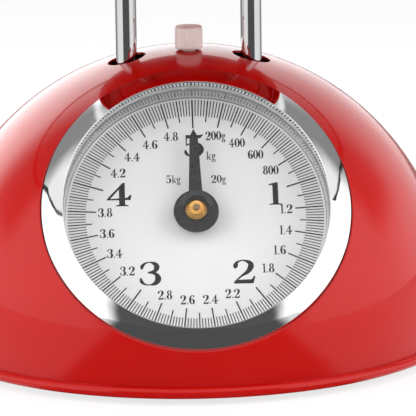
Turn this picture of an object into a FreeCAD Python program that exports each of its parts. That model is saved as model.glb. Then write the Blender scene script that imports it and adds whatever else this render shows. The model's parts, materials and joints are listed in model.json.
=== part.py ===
"""Dial kitchen scale: a domed housing, a weighing carriage on two springs, and a rack and pinion dial.

Units are millimetres and degrees. +Z is up, the dial faces -Y, and the origin is the middle of the
footprint, on the surface that the feet stand on.
"""
import FreeCAD, Part
import math
import os
import Sketcher

SIZES = {
    # housing
    "dome_radius": 120,            # outside of the hemisphere
    "shell_wall": 1,               # pressed steel of the dome
    "skirt_drop": 13.4,            # sphere centre above the foot of the bead
    "foot_stand": 2.5,             # foot of the bead above the table
    "bead_reach": 3.2,             # rolled bead, outwards
    "bead_rise": 4.7,              # rolled bead, upwards
    "hole_lip": 4,                 # depth of the turned-in edge round the dial hole
    "lip_round": 0.5,              # rounding of that edge
    "post_hole_radius": 8.6,
    "knob_hole_radius": 3.6,
    # base
    "pan_recess": 3.5,             # underside of the pan above the foot of the bead
    "pan_sheet": 1,
    "pan_gap": 0.2,                # pan edge to the skirt
    "foot_radius": 10,
    "foot_ring": 95,               # feet from the middle
    "foot_neck": 4,
    "foot_head": 6.5,
    "foot_head_depth": 2,
    "tab_width": 16,
    "tab_reach": 13,
    "tab_sheet": 2,
    "tab_leg": 8,
    "tab_screw_inset": 6.5,        # screw from the skirt
    "tab_weld": 1,                 # tab pressed into the skirt before it is trimmed to it
    "screw_radius": 2,
    "screw_head_radius": 3.8,
    "screw_head_depth": 1.6,
    "screw_tip": 1.5,              # screw beyond what it clamps
    # dial stack, along the dial's own axis
    "dial_tilt": 35.7,             # dial axis above the horizontal
    "dial_offset": 4.2,            # dial axis up from the sphere centre, along the dial
    "dial_hole_radius": 68,
    "bezel_fit": 0.4,              # bezel skirt to the dial hole
    "bezel_face": 9.4,             # width of the ring that shows
    "bezel_rise": 5.6,
    "bezel_curve": 70,             # section radius of the ring's face
    "bezel_sheet": 0.9,
    "bezel_lip": 3.3,
    "bezel_skirt": 10.8,
    "dial_depth": 14.8,            # crest of the bezel to the dial
    "dial_sheet": 0.8,
    "dial_hole": 3.6,              # radius round the arbor
    "dial_gap": 0.2,               # dial's edge to the cup
    "cup_inset": 0.8,              # cup wall inside the bezel's edge
    "cup_hole_margin": 3,          # hole in the cup's back round the bush
    "cup_sheet": 1,
    "cup_flange_drop": 7.1,        # crest of the bezel to the flange under the gasket
    "flange_gap": 0.1,
    "gasket_depth": 1.5,
    "gasket_width": 2.9,
    "lens_cover": 3.3,             # lens beyond the bezel's edge
    "lens_glass": 2,
    "lens_crown": 2,
    # movement
    "movement_half": 20,
    "movement_sheet": 1.5,
    "movement_gap": 21,            # between the two plates
    "pillar_place_x": 16,
    "pillar_place_v": 15,
    "pillar_radius": 2.5,
    "movement_screw_radius": 1.2,
    "movement_screw_head": 2.4,
    "movement_head_depth": 1.2,
    "movement_screw_grip": 5,      # screw inside the pillar
    "pillar_thread": 6,
    "rivet_place": 12,
    "rivet_radius": 1.5,
    "rivet_head_radius": 2.8,
    "rivet_head_depth": 1.2,
    "bracket_lap": 12,             # bracket behind the chassis front
    "bracket_head": 2,             # bracket above the drive pin
    "bracket_drop": 26,            # bracket below the drive pin
    "bracket_low": 4,              # bracket's front corners, up the dial
    "bracket_high": 26,
    "bracket_rivet_inset": 6,
    "bracket_rivet_high": 4,       # rivets below the drive pin
    "bracket_rivet_low": 20,
    "arbor_radius": 1.5,
    "arbor_play": 0.05,
    "arbor_tail": 1.5,
    "arbor_tip": 0.5,              # arbor above the nut
    "bush_radius": 3,
    "bush_flange_radius": 3.45,
    "bush_flange_depth": 1.5,
    "pinion_pitch_radius": 2.5,
    "pinion_width": 7,
    "rack_width": 5,
    "rack_back": 3.5,              # pitch line to the rack's back
    "rack_tail": 8,                # below the arbor
    "yoke_place": 38,              # drive pin above the arbor, along the rack
    "guide_play": 0.06,
    "guide_wall": 2.5,
    "guide_lip": 1.5,
    "guide_opening": 1.1,          # block's open side behind the pitch line
    "guide_low": 6,                # block below and above the arbor
    "guide_high": 12,
    "rack_slot_play": 0.08,
    "rack_slot_spare": 0.15,       # slot beyond the pin's run
    "rack_yoke_half": 4,
    "rack_yoke_margin": 3,
    # pointer
    "pointer_clearance": 2.4,      # hub above the dial
    "hub_radius": 8.6,
    "hub_depth": 2.2,
    "pointer_disc_radius": 9.9,
    "pointer_sheet": 0.8,
    "pointer_margin": 17.4,        # tip to the dial's edge
    "pointer_tip_length": 4,
    "pointer_root_half": 3,
    "pointer_end_half": 1.8,
    "nut_radius": 4.7,
    "nut_crown_radius": 3.2,
    "nut_height": 3.4,
    "nut_flange": 1,
    # carriage
    "post_spacing": 56.6,
    "post_line": -7.8,             # the posts' place in Y
    "post_radius": 4.75,
    "post_wall": 1,
    "platform_lift": 40,           # underside of the platform above the dome
    "platform_radius": 66,
    "platform_sheet": 1.2,
    "platform_well": 50,           # radius of the well the bowl stands in
    "well_depth": 2,
    "platform_rim": 10,
    "platform_bend": 3,
    "plug_length": 14,
    "platform_screw_head": 4.5,
    "platform_screw_cap": 1.4,
    "platform_screw_length": 10,
    "well_slope": 2,               # width of the step round the well
    "well_corner": 0.5,
    "crosshead_half": 36,
    "crosshead_width": 20,
    "upper_head_depth": 6,
    "lower_head_depth": 8,
    "head_drop": 24,               # upper crosshead's top under the bridge
    "head_spacing": 32,            # between the crossheads
    "set_screw_radius": 1.5,
    "set_screw_head": 1.6,
    "set_screw_grip": 2.8,
    "set_screw_thread": 3,
    "ear_inner": 14.5,
    "ear_sheet": 3,
    "ear_reach": 9,
    "ear_pin_place": 5,
    "arm_pin_radius": 2,
    "pin_overhang": 1,
    "drive_gap": 2,                # bracket behind the rack
    "drive_sheet": 2.5,
    "drive_foot": 13,
    "drive_screw_place": 8,
    "drive_eye": 4,                # metal round the drive pin
    "drive_pin_head": 1.2,
    "drive_pin_rim": 1,
    # springs
    "spring_place": 14,
    "spring_radius": 4.5,
    "spring_wire": 0.7,
    "spring_pitch": 2.2,
    "spring_hole_radius": 6.5,
    "hook_radius": 2.9,
    "hook_pin_radius": 1.5,
    "hook_pin_inset": 2.8,         # pin's axis from the face that the spring leaves
    "hook_slack": 0.06,
    "hook_slot_half": 4.4,
    "hook_slot_width": 2.4,
    # arms
    "arm_cheek_inner": 18,
    "arm_cheek": 2,
    "arm_half_depth": 4,
    "arm_pivot_y": 46,
    "arm_play": 0.25,
    "frame_pin_radius": 2.5,
    "web_sheet": 2,
    "web_front": 12,               # web behind the carriage pin and in front of the frame pin
    "web_back": 10,
    # chassis
    "dome_headroom": 21.9,         # bridge under the dome's crown
    "chassis_half": 45,
    "chassis_sheet": 2,
    "chassis_front": -20,
    "chassis_back": 52,
    "chassis_flange": 12,
    "chassis_corner": 16,
    "chassis_screw_inset": 10,
    "window_front": -8,            # opening in each side
    "window_back": 12,
    "window_low": 14,
    "window_high": 10,             # opening below the lower frame pin
    "bridge_hole_radius": 6.5,
    "clip_radius": 4,
    "clip_sheet": 0.8,
    "frame_pin_overhang": 2,
    # zero adjuster
    "knob_radius": 6.25,
    "knob_height": 10.2,
    "knob_gap": 0.4,
    "knob_round": 1,
    "flute_radius": 0.6,
    "flute_depth": 0.2,
    "flute_margin": 1.6,           # plain band above and below the flutes
    "stem_radius": 3,
    "zero_screw_radius": 2.5,
    "zero_play": 0.06,
    "zero_bush_radius": 4,
    "zero_flange_radius": 6.5,
    "zero_flange_depth": 1,
    "zero_gap": 0.1,               # collar and clip to the bridge
    "zero_collar_depth": 2,
    "zero_stub": 5,                # screw inside the knob's stem
    "zero_chamfer": 0.5,
    "zero_clip_depth": 1.5,
    "yoke_half": 20,
    "yoke_width": 11,
    "yoke_depth": 7,
    "yoke_drop": 7.5,              # yoke's top under the bridge
    "screw_tail": 4.5,             # screw below the yoke
    # bowl
    "bowl_radius": 112,
    "bowl_depth": 56,
    "bowl_sheet": 1,
    "bowl_curve": 84,
    "bowl_foot_radius": 47,
    "bowl_foot_width": 4,
    "bowl_foot_rise": 2.4,
    "bowl_foot_flare": 0.4,
    "bowl_foot_slope": 2,
    "bowl_foot_corner": 0.5,
    "bowl_bead_reach": 1.8,
    "bowl_bead_rise": 3.4,
}

PINION_TEETH = 10
RACK_TEETH = 16
FLUTES = 24
PRESSURE_ANGLE = 20
RACK_ADDENDUM = 0.35               # of the pitch line to the rack's tooth tips
PINION_ADDENDUM = 0.4
TOOTH_HALF = 0.35                  # half a tooth's thickness on the pitch line, with backlash taken off
TOOTH_ROOT = 0.55                  # pitch line to the tooth roots

doc = FreeCAD.newDocument("kitchen_scale")
sheet = doc.addObject("Spreadsheet::Sheet", "Sizes")


class Size:
    """A number together with the expression that the document works it out from."""

    def __init__(self, number, text):
        self.number = float(number)
        self.text = text

    def __add__(self, other):
        other = as_size(other)
        return Size(self.number + other.number, f"({self.text} + {other.text})")

    def __sub__(self, other):
        other = as_size(other)
        return Size(self.number - other.number, f"({self.text} - {other.text})")

    def __mul__(self, other):
        other = as_size(other)
        return Size(self.number * other.number, f"({self.text} * {other.text})")

    def __truediv__(self, other):
        other = as_size(other)
        return Size(self.number / other.number, f"({self.text} / {other.text})")

    def __neg__(self):
        return Size(-self.number, f"(0 - {self.text})")

    __radd__ = __add__

    def __rsub__(self, other):
        return as_size(other) - self

    __rmul__ = __mul__


def as_size(value):
    """A plain number as a Size."""
    return value if isinstance(value, Size) else Size(value, f"({float(value)!r})")


def size(name):
    """The Size of one cell of the sheet."""
    return Size(SIZES[name], f"Sizes.{name}")


def sine(angle):
    return Size(math.sin(math.radians(angle.number)), f"sin({angle.text})")


def cosine(angle):
    return Size(math.cos(math.radians(angle.number)), f"cos({angle.text})")


def root(value):
    return Size(math.sqrt(value.number), f"sqrt({value.text})")


def arc_sine(value):
    return Size(math.degrees(math.asin(value.number)), f"asin({value.text}) * 1 / 1 deg")


def fill_sheet():
    """Write every driving size into the sheet under its own name."""
    for row, (name, value) in enumerate(SIZES.items(), 1):
        sheet.set(f"A{row}", name)
        sheet.set(f"B{row}", str(value))
        sheet.setAlias(f"B{row}", name)
    doc.recompute()


fill_sheet()

# ---- levels and places that several pieces share ----
post_x = size("post_spacing") / 2
post_y = size("post_line")
sphere_z = size("foot_stand") + size("skirt_drop")
inner_radius = size("dome_radius") - size("shell_wall")
pan_under = size("foot_stand") + size("pan_recess")
pan_top = pan_under + size("pan_sheet")
dome_top = sphere_z + size("dome_radius")
bridge_top = dome_top - size("dome_headroom")
bridge_under = bridge_top - size("chassis_sheet")

hole_level = root(size("dome_radius") * size("dome_radius")
                  - size("dial_hole_radius") * size("dial_hole_radius")
                  - size("dial_offset") * size("dial_offset"))
bezel_radius = size("dial_hole_radius") - size("bezel_fit")
bezel_edge = bezel_radius - size("bezel_face")
cup_wall = bezel_edge - size("cup_inset")
dial_edge = cup_wall - size("dial_gap")
lens_edge = bezel_edge + size("lens_cover")
bezel_crest = hole_level + size("bezel_rise")
dial_top = bezel_crest - size("dial_depth")
dial_under = dial_top - size("dial_sheet")
cup_back = dial_under - size("cup_sheet")
flange_top = bezel_crest - size("cup_flange_drop")
lens_under = flange_top + size("gasket_depth")
front_plate_back = cup_back - size("movement_sheet")
rear_plate_front = front_plate_back - size("movement_gap")
rear_plate_back = rear_plate_front - size("movement_sheet")
rack_level = (front_plate_back + rear_plate_front) / 2
hub_under = dial_top + size("pointer_clearance")
pointer_under = hub_under + size("hub_depth")
pointer_top = pointer_under + size("pointer_sheet")

tilt = size("dial_tilt")
dial_axis_y = size("dial_offset") * sine(tilt)
dial_axis_z = sphere_z + size("dial_offset") * cosine(tilt)

pitch = size("pinion_pitch_radius")
tooth_pitch = pitch * (2 * math.pi / PINION_TEETH)
rack_travel = pitch * (2 * math.pi)
load_travel = rack_travel * cosine(tilt)
slot_run = rack_travel * sine(tilt)
drive_y = dial_axis_y - rack_level * cosine(tilt) + size("yoke_place") * sine(tilt)
drive_z = dial_axis_z + rack_level * sine(tilt) + size("yoke_place") * cosine(tilt)
drive_x = pitch + size("rack_back") + size("drive_gap")
drive_screw_x = drive_x + size("drive_screw_place")

upper_head_top = bridge_top - size("head_drop")
upper_head_under = upper_head_top - size("upper_head_depth")
lower_head_top = upper_head_under - size("head_spacing") + size("lower_head_depth")
lower_head_under = lower_head_top - size("lower_head_depth")
head_front = post_y - size("crosshead_width") / 2
head_back = post_y + size("crosshead_width") / 2
ear_pin_y = head_back + size("ear_pin_place")
upper_ear_z = upper_head_under + size("upper_head_depth") / 2
lower_ear_z = lower_head_under + size("lower_head_depth") / 2
half_travel = load_travel / 2
arm_run = size("arm_pivot_y") - ear_pin_y
arm_length = root(arm_run * arm_run + half_travel * half_travel)

yoke_top = bridge_under - size("yoke_drop") + size("chassis_sheet")
yoke_under = yoke_top - size("yoke_depth")
yoke_pin_z = yoke_under + size("hook_pin_inset")
lower_spring_pin_z = lower_head_top - size("hook_pin_inset")
hook_inner = size("hook_radius") - size("spring_wire")
upper_hook_z = yoke_pin_z - hook_inner + size("hook_pin_radius") + size("hook_slack")
lower_hook_z = lower_spring_pin_z + hook_inner - size("hook_pin_radius") - size("hook_slack")

platform_under = dome_top + size("platform_lift")
well_floor = platform_under + size("platform_sheet")
bowl_base = well_floor

NODES = []
ORIGIN_SIGN = {"XY": 1, "XZ": -1, "YZ": 1}


# ---- drawing helpers ----
def new_body(name):
    """A body, listed as one node of the model."""
    body = doc.addObject("PartDesign::Body", name)
    body.Label = name
    NODES.append(body)
    return body


def origin_feature(body, role):
    return [item for item in body.Origin.OriginFeatures if item.Role == role][0]


def new_sketch(body, plane, level):
    """A sketch on an origin plane, moved to a level along that plane's own axis."""
    sketch = body.newObject("Sketcher::SketchObject", f"{body.Name}_sketch")
    sketch.AttachmentSupport = [(origin_feature(body, f"{plane}_Plane"), "")]
    sketch.MapMode = "FlatFace"
    offset = as_size(level) * ORIGIN_SIGN[plane]
    sketch.AttachmentOffset = FreeCAD.Placement(FreeCAD.Vector(0, 0, offset.number), FreeCAD.Rotation())
    sketch.setExpression("AttachmentOffset.Base.z", offset.text)
    return sketch


def bind(sketch, kind, value, *where):
    """One dimension of a sketch, worked out from the sheet."""
    value = as_size(value)
    index = sketch.addConstraint(Sketcher.Constraint(kind, *where, value.number))
    sketch.setExpression(f"Constraints[{index}]", value.text)


def bind_point(sketch, geometry, corner, x, y):
    bind(sketch, "DistanceX", x, -1, 1, geometry, corner)
    bind(sketch, "DistanceY", y, -1, 1, geometry, corner)


def draw_arc(sketch, start, end, radius, turn):
    """A circular arc from start to end; turn is 1 for anticlockwise and -1 for clockwise."""
    chord = end - start
    half = chord.Length / 2
    rise = math.sqrt(max(radius * radius - half * half, 0))
    side = FreeCAD.Vector(-chord.y, chord.x, 0).normalize()
    centre = (start + end) / 2 + side * rise * turn
    first, last = (start, end) if turn > 0 else (end, start)
    angles = [math.atan2(point.y - centre.y, point.x - centre.x) for point in (first, last)]
    circle = Part.Circle(centre, FreeCAD.Vector(0, 0, 1), radius)
    return sketch.addGeometry(Part.ArcOfCircle(circle, angles[0], angles[1]), False)


def draw_loop(sketch, points):
    """A closed outline. A point is (x, y), or (x, y, radius, turn) where an arc leads to the next one.

    A radius of None makes the arc a half circle.
    """
    places = [FreeCAD.Vector(as_size(p[0]).number, as_size(p[1]).number, 0) for p in points]
    ends = []
    for index, point in enumerate(points):
        start = places[index]
        end = places[(index + 1) % len(points)]
        if len(point) == 2:
            edge = sketch.addGeometry(Part.LineSegment(start, end), False)
            ends.append((edge, 1, 2))
        else:
            half_circle = point[2] is None
            radius = (end - start).Length / 2 if half_circle else as_size(point[2]).number
            edge = draw_arc(sketch, start, end, radius, point[3])
            ends.append((edge, 1, 2) if point[3] > 0 else (edge, 2, 1))
            if half_circle:
                bind_middle(sketch, edge, point, points[(index + 1) % len(points)])
            else:
                bind(sketch, "Radius", point[2], edge)
    for index, point in enumerate(points):
        edge, first, _ = ends[index]
        before, _, last = ends[index - 1]
        sketch.addConstraint(Sketcher.Constraint("Coincident", before, last, edge, first))
        bind_point(sketch, edge, first, point[0], point[1])


def bind_middle(sketch, edge, first, last):
    """Hold a half circle's centre midway between its ends, in the direction they leave free."""
    middle = [(as_size(first[axis]) + as_size(last[axis])) / 2 for axis in (0, 1)]
    rise = abs(as_size(last[1]).number - as_size(first[1]).number)
    run = abs(as_size(last[0]).number - as_size(first[0]).number)
    if rise > run:
        bind(sketch, "DistanceX", middle[0], -1, 1, edge, 3)
    else:
        bind(sketch, "DistanceY", middle[1], -1, 1, edge, 3)


def draw_circle(sketch, x, y, radius):
    x, y, radius = as_size(x), as_size(y), as_size(radius)
    centre = FreeCAD.Vector(x.number, y.number, 0)
    edge = sketch.addGeometry(Part.Circle(centre, FreeCAD.Vector(0, 0, 1), radius.number), False)
    bind(sketch, "Radius", radius, edge)
    bind_point(sketch, edge, 3, x, y)


def box_loop(low_x, high_x, low_y, high_y):
    return [(low_x, low_y), (high_x, low_y), (high_x, high_y), (low_x, high_y)]


def draw(sketch, loops, circles):
    for points in loops:
        draw_loop(sketch, points)
    for circle in circles:
        draw_circle(sketch, *circle)


def add_pad(body, plane, start, depth, loops=(), circles=()):
    """Material between two levels along the plane's own axis."""
    start, depth = as_size(start), as_size(depth)
    sketch = new_sketch(body, plane, start + depth if plane == "XZ" else start)
    draw(sketch, loops, circles)
    pad = body.newObject("PartDesign::Pad", f"{body.Name}_pad")
    pad.Profile = sketch
    pad.Length = depth.number
    pad.setExpression("Length", depth.text)
    body.Tip = pad
    return pad


def add_pocket(body, plane, start, depth, loops=(), circles=()):
    """A cut between two levels along the plane's own axis."""
    start, depth = as_size(start), as_size(depth)
    sketch = new_sketch(body, plane, start if plane == "XZ" else start + depth)
    draw(sketch, loops, circles)
    pocket = body.newObject("PartDesign::Pocket", f"{body.Name}_pocket")
    pocket.Profile = sketch
    pocket.Length = depth.number
    pocket.setExpression("Length", depth.text)
    body.Tip = pocket
    return pocket


def add_turned(body, points):
    """Material of revolution about Z."""
    sketch = new_sketch(body, "XZ", 0)
    draw_loop(sketch, points)
    revolution = body.newObject("PartDesign::Revolution", f"{body.Name}_turn")
    revolution.Profile = sketch
    revolution.ReferenceAxis = (sketch, ["V_Axis"])
    revolution.Angle = 360
    body.Tip = revolution
    return revolution


def repeat_round(body, feature, count):
    """Copies of one feature, evenly round the body's Z axis."""
    pattern = body.newObject("PartDesign::PolarPattern", f"{body.Name}_ring")
    pattern.Originals = [feature]
    pattern.Axis = (origin_feature(body, "Z_Axis"), [""])
    pattern.Angle = 360
    pattern.Occurrences = count
    body.Tip = pattern
    return pattern


def place(item, x=0, y=0, z=0, turn_x=0):
    """Put an object at a point, turned about the X axis."""
    turn_x = as_size(turn_x)
    spots = [as_size(value) for value in (x, y, z)]
    rotation = FreeCAD.Rotation(FreeCAD.Vector(1, 0, 0), turn_x.number)
    item.Placement = FreeCAD.Placement(FreeCAD.Vector(*[spot.number for spot in spots]), rotation)
    for name, spot in zip("xyz", spots):
        item.setExpression(f"Placement.Base.{name}", spot.text)
    item.setExpression("Placement.Rotation.Angle", turn_x.text)
    return item


def on_dial(item):
    """Stand an object on the dial axis: its X is across the dial, Y up the dial and Z out of it."""
    return place(item, 0, dial_axis_y, dial_axis_z, 90 - tilt)


def ring(body, inner, outer, low, high):
    """A plain turned ring, or a disc where inner is 0."""
    return add_turned(body, box_loop(inner, outer, low, high))


# ---- housing ----
def make_dome_shell():
    radius = size("dome_radius")
    bead_top = size("foot_stand") + size("bead_rise")
    bead_edge = radius + size("bead_reach") - size("bead_rise") / 2
    pressing = doc.addObject("PartDesign::Body", "dome_pressing")
    add_turned(pressing, [
        (0, sphere_z + radius, radius, -1),
        (radius, sphere_z),
        (radius, bead_top),
        (bead_edge, bead_top, None, -1),
        (bead_edge, size("foot_stand")),
        (inner_radius, size("foot_stand")),
        (inner_radius, sphere_z, inner_radius, 1),
        (0, sphere_z + inner_radius),
    ])
    lip_ball = place(new_ball("lip_ball", radius - size("shell_wall") / 2), z=sphere_z)
    lip_core = place(new_ball("lip_core", radius - size("hole_lip")), z=sphere_z)
    lip_tube = on_dial(new_rod("lip_tube", size("dial_hole_radius") + size("shell_wall"), radius))
    lip_band = new_pair("Part::Cut", "lip_band", lip_ball, lip_core)
    lip = new_pair("Part::Common", "hole_lip_ring", lip_band, lip_tube)
    lipped = new_pair("Part::Fuse", "lipped_pressing", pressing, lip)
    dial_cutter = on_dial(new_rod("dial_cutter", size("dial_hole_radius"), radius + radius))
    with_dial_hole = new_pair("Part::Cut", "dome_with_dial_hole", lipped, dial_cutter)
    holes = []
    for name, hole_radius, x in (("left_post_cutter", size("post_hole_radius"), -post_x),
                                 ("right_post_cutter", size("post_hole_radius"), post_x),
                                 ("knob_cutter", size("knob_hole_radius"), 0)):
        holes.append(place(new_rod(name, hole_radius, radius + radius), x, post_y, sphere_z))
    cutters = doc.addObject("Part::MultiFuse", "top_cutters")
    cutters.Shapes = holes
    pierced = new_pair("Part::Cut", "pierced_pressing", with_dial_hole, cutters)
    round_hole_edge(pierced)


def round_hole_edge(pierced):
    """Round the outer edge of the dial hole, where its wall meets the ball."""
    doc.recompute()
    rim = []
    for index, edge in enumerate(pierced.Shape.Edges, 1):
        faces = pierced.Shape.ancestorsOfType(edge, Part.Face)
        radii = sorted(getattr(face.Surface, "Radius", 0) for face in faces)
        if len(radii) == 2 and abs(radii[0] - SIZES["dial_hole_radius"]) < 0.01 \
                and abs(radii[1] - SIZES["dome_radius"]) < 0.01:
            rim.append((index, SIZES["lip_round"], SIZES["lip_round"]))
    shell = doc.addObject("Part::Fillet", "dome_shell")
    shell.Base = pierced
    shell.Edges = rim
    NODES.append(shell)


def new_ball(name, radius):
    ball = doc.addObject("Part::Sphere", name)
    ball.Radius = as_size(radius).number
    ball.setExpression("Radius", as_size(radius).text)
    return ball


def new_rod(name, radius, height):
    rod = doc.addObject("Part::Cylinder", name)
    rod.Radius = as_size(radius).number
    rod.Height = as_size(height).number
    rod.setExpression("Radius", as_size(radius).text)
    rod.setExpression("Height", as_size(height).text)
    return rod


def new_pair(kind, name, base, tool):
    """A Part boolean of two objects."""
    pair = doc.addObject(kind, name)
    pair.Base = base
    pair.Tool = tool
    return pair


def foot_centres():
    reach = size("foot_ring") * math.sqrt(0.5)
    return [(reach * side, reach * end) for side in (-1, 1) for end in (-1, 1)]


def tab_spots():
    """Screw places of the four skirt tabs, on the X and Y axes."""
    reach = inner_radius - size("tab_screw_inset")
    return [(reach, as_size(0)), (-reach, as_size(0)), (as_size(0), reach), (as_size(0), -reach)]


def chassis_spots():
    """Screw places of the chassis flanges."""
    x = size("chassis_half") + size("chassis_flange") / 2
    front = size("chassis_front") + size("chassis_screw_inset")
    back = size("chassis_back") - size("chassis_screw_inset")
    return [(x * side, y) for side in (-1, 1) for y in (front, back)]


def make_base_pan():
    body = new_body("base_pan")
    edge = inner_radius - size("pan_gap")
    add_turned(body, box_loop(0, edge, pan_under, pan_top))
    holes = [(x, y, size("foot_neck")) for x, y in foot_centres()]
    holes += [(x, y, size("screw_radius")) for x, y in tab_spots() + chassis_spots()]
    add_pocket(body, "XY", pan_under - 1, size("pan_sheet") + 2, circles=holes)


def make_rubber_feet():
    body = new_body("rubber_feet")
    spots = foot_centres()
    add_pad(body, "XY", 0, pan_under, circles=[(x, y, size("foot_radius")) for x, y in spots])
    add_pad(body, "XY", pan_under, size("pan_sheet"), circles=[(x, y, size("foot_neck")) for x, y in spots])
    add_pad(body, "XY", pan_top, size("foot_head_depth"),
            circles=[(x, y, size("foot_head")) for x, y in spots])


def make_skirt_tabs():
    """Four angle tabs welded inside the skirt, for the pan's screws."""
    tabs = doc.addObject("PartDesign::Body", "square_tabs")
    sheet_top = pan_top + size("tab_sheet")
    start = inner_radius - size("tab_reach")
    sketch_points = [
        (start, pan_top),
        (inner_radius + size("tab_weld"), pan_top),
        (inner_radius + size("tab_weld"), pan_top + size("tab_leg")),
        (inner_radius - size("tab_sheet"), pan_top + size("tab_leg")),
        (inner_radius - size("tab_sheet"), sheet_top),
        (start, sheet_top),
    ]
    tab = add_pad(tabs, "XZ", -size("tab_width") / 2, size("tab_width"), [sketch_points])
    repeat_round(tabs, tab, 4)
    holes = [(x, y, size("screw_radius")) for x, y in tab_spots()]
    add_pocket(tabs, "XY", pan_top - 1, size("tab_sheet") + 2, circles=holes)
    skirt = new_rod("skirt_inside", inner_radius, size("dome_radius"))
    fitted = new_pair("Part::Common", "skirt_tabs", tabs, skirt)
    NODES.append(fitted)


def make_screws(name, plane, spots, radius, head_radius, head_start, head_depth, shank_start, shank_length):
    """Identical screws: one head and one shank for each spot."""
    body = new_body(name)
    add_pad(body, plane, head_start, head_depth, circles=[(x, y, head_radius) for x, y in spots])
    add_pad(body, plane, shank_start, shank_length, circles=[(x, y, radius) for x, y in spots])
    return body


def make_base_screws():
    head = size("screw_head_depth")
    length = size("pan_sheet") + size("tab_sheet") + size("screw_tip")
    make_screws("base_screws", "XY", tab_spots(), size("screw_radius"), size("screw_head_radius"),
                pan_under - head, head, pan_under, length)
    length = size("pan_sheet") + size("chassis_sheet") + size("screw_tip")
    make_screws("chassis_screws", "XY", chassis_spots(), size("screw_radius"), size("screw_head_radius"),
                pan_under - head, head, pan_under, length)


def make_chassis_frame():
    """One bent strip: two upright sides, a bridge over the top and a flange at each foot."""
    body = new_body("chassis_frame")
    half = size("chassis_half")
    metal = size("chassis_sheet")
    foot = half + size("chassis_flange")
    depth = size("chassis_back") - size("chassis_front")
    add_pad(body, "XZ", size("chassis_front"), depth, [[
        (-foot, pan_top), (-half + metal, pan_top), (-half + metal, bridge_under),
        (half - metal, bridge_under), (half - metal, pan_top), (foot, pan_top),
        (foot, pan_top + metal), (half, pan_top + metal), (half, bridge_top),
        (-half, bridge_top), (-half, pan_top + metal), (-foot, pan_top + metal),
    ]])
    corner = size("chassis_corner")
    back = size("chassis_back")
    add_pocket(body, "YZ", -foot, foot + foot, [[
        (back - corner, bridge_top + 1), (back + 1, bridge_top + 1),
        (back + 1, bridge_top - corner), (back, bridge_top - corner), (back - corner, bridge_top),
    ]])
    pins = [(size("arm_pivot_y"), upper_ear_z - half_travel, size("frame_pin_radius")),
            (size("arm_pivot_y"), lower_ear_z - half_travel, size("frame_pin_radius"))]
    add_pocket(body, "YZ", -foot, foot + foot, circles=pins)
    window_low = pan_top + size("window_low")
    window_high = lower_ear_z - half_travel - size("window_high")
    window_back = back - size("window_back")
    add_pocket(body, "YZ", -foot, foot + foot,
               [box_loop(size("window_front"), window_back, window_low, window_high)])
    bridge_holes = [(x, y, size("bridge_hole_radius")) for x, y in post_spots()]
    bridge_holes.append((0, post_y, size("zero_bush_radius")))
    add_pocket(body, "XY", bridge_under - 1, metal + 2, circles=bridge_holes)
    add_pocket(body, "XY", pan_top - 1, metal + 2,
               circles=[(x, y, size("screw_radius")) for x, y in chassis_spots()])


def make_frame_pins():
    length = size("chassis_half") + size("frame_pin_overhang")
    for name, level in (("upper_frame_pin", upper_ear_z), ("lower_frame_pin", lower_ear_z)):
        body = new_body(name)
        spot = (size("arm_pivot_y"), level - half_travel, size("frame_pin_radius"))
        add_pad(body, "YZ", -length, length + length, circles=[spot])
    clips = new_body("frame_pin_clips")
    for start in (-size("chassis_half") - size("clip_sheet"), size("chassis_half")):
        spots = []
        for level in (upper_ear_z, lower_ear_z):
            for radius in (size("clip_radius"), size("frame_pin_radius")):
                spots.append((size("arm_pivot_y"), level - half_travel, radius))
        add_pad(clips, "YZ", start, size("clip_sheet"), circles=spots)


# ---- dial stack ----
def make_dial_bezel():
    body = on_dial(new_body("dial_bezel"))
    metal = size("bezel_sheet")
    edge = bezel_edge
    curve = size("bezel_curve")
    shoulder_inner = hole_level - metal * 0.4
    add_turned(body, [
        (edge, bezel_crest - size("bezel_lip")),
        (edge, bezel_crest - metal * 0.5, metal * 0.5, -1),
        (edge + metal * 0.5, bezel_crest, curve, -1),
        (bezel_radius, hole_level),
        (bezel_radius, hole_level - size("bezel_skirt")),
        (bezel_radius - metal, hole_level - size("bezel_skirt")),
        (bezel_radius - metal, shoulder_inner, curve, 1),
        (edge + metal, bezel_crest - metal * 1.2),
        (edge + metal, bezel_crest - size("bezel_lip")),
    ])


def make_dial_lens():
    body = on_dial(new_body("dial_lens"))
    radius = lens_edge
    rise = size("lens_crown")
    curve = (radius * radius + rise * rise) / (2 * rise)
    add_turned(body, [
        (0, lens_under + rise, curve, -1),
        (radius, lens_under),
        (radius, lens_under + size("lens_glass"), curve, 1),
        (0, lens_under + size("lens_glass") + rise),
    ])


def make_lens_gasket():
    body = on_dial(new_body("lens_gasket"))
    ring(body, lens_edge - size("gasket_width"), lens_edge, flange_top, lens_under)


def make_dial_cup():
    body = on_dial(new_body("dial_cup"))
    metal = size("cup_sheet")
    hole = size("bush_radius") + size("cup_hole_margin")
    flange = bezel_radius - size("bezel_sheet") - size("flange_gap")
    add_turned(body, [
        (hole, cup_back), (cup_wall + metal, cup_back),
        (cup_wall + metal, flange_top - metal), (flange, flange_top - metal),
        (flange, flange_top), (cup_wall, flange_top),
        (cup_wall, dial_under), (hole, dial_under),
    ])
    spots = [(x, y, size("rivet_radius")) for x, y in rivet_spots()]
    add_pocket(body, "XY", cup_back - 1, metal + 2, circles=spots)


def make_dial_plate():
    body = on_dial(new_body("dial_plate"))
    ring(body, size("dial_hole"), dial_edge, dial_under, dial_top)


def bracket_spots():
    """Rivets of the dial brackets through the chassis sides, as Y and Z."""
    y = size("chassis_front") + size("bracket_rivet_inset")
    return [(y, drive_z - size("bracket_rivet_low")), (y, drive_z - size("bracket_rivet_high"))]


def cup_point(rise):
    """Y and Z of a point on the cup's back, by its rise up the dial."""
    return (dial_axis_y - cup_back * cosine(tilt) + rise * sine(tilt),
            dial_axis_z + cup_back * sine(tilt) + rise * cosine(tilt))


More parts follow.
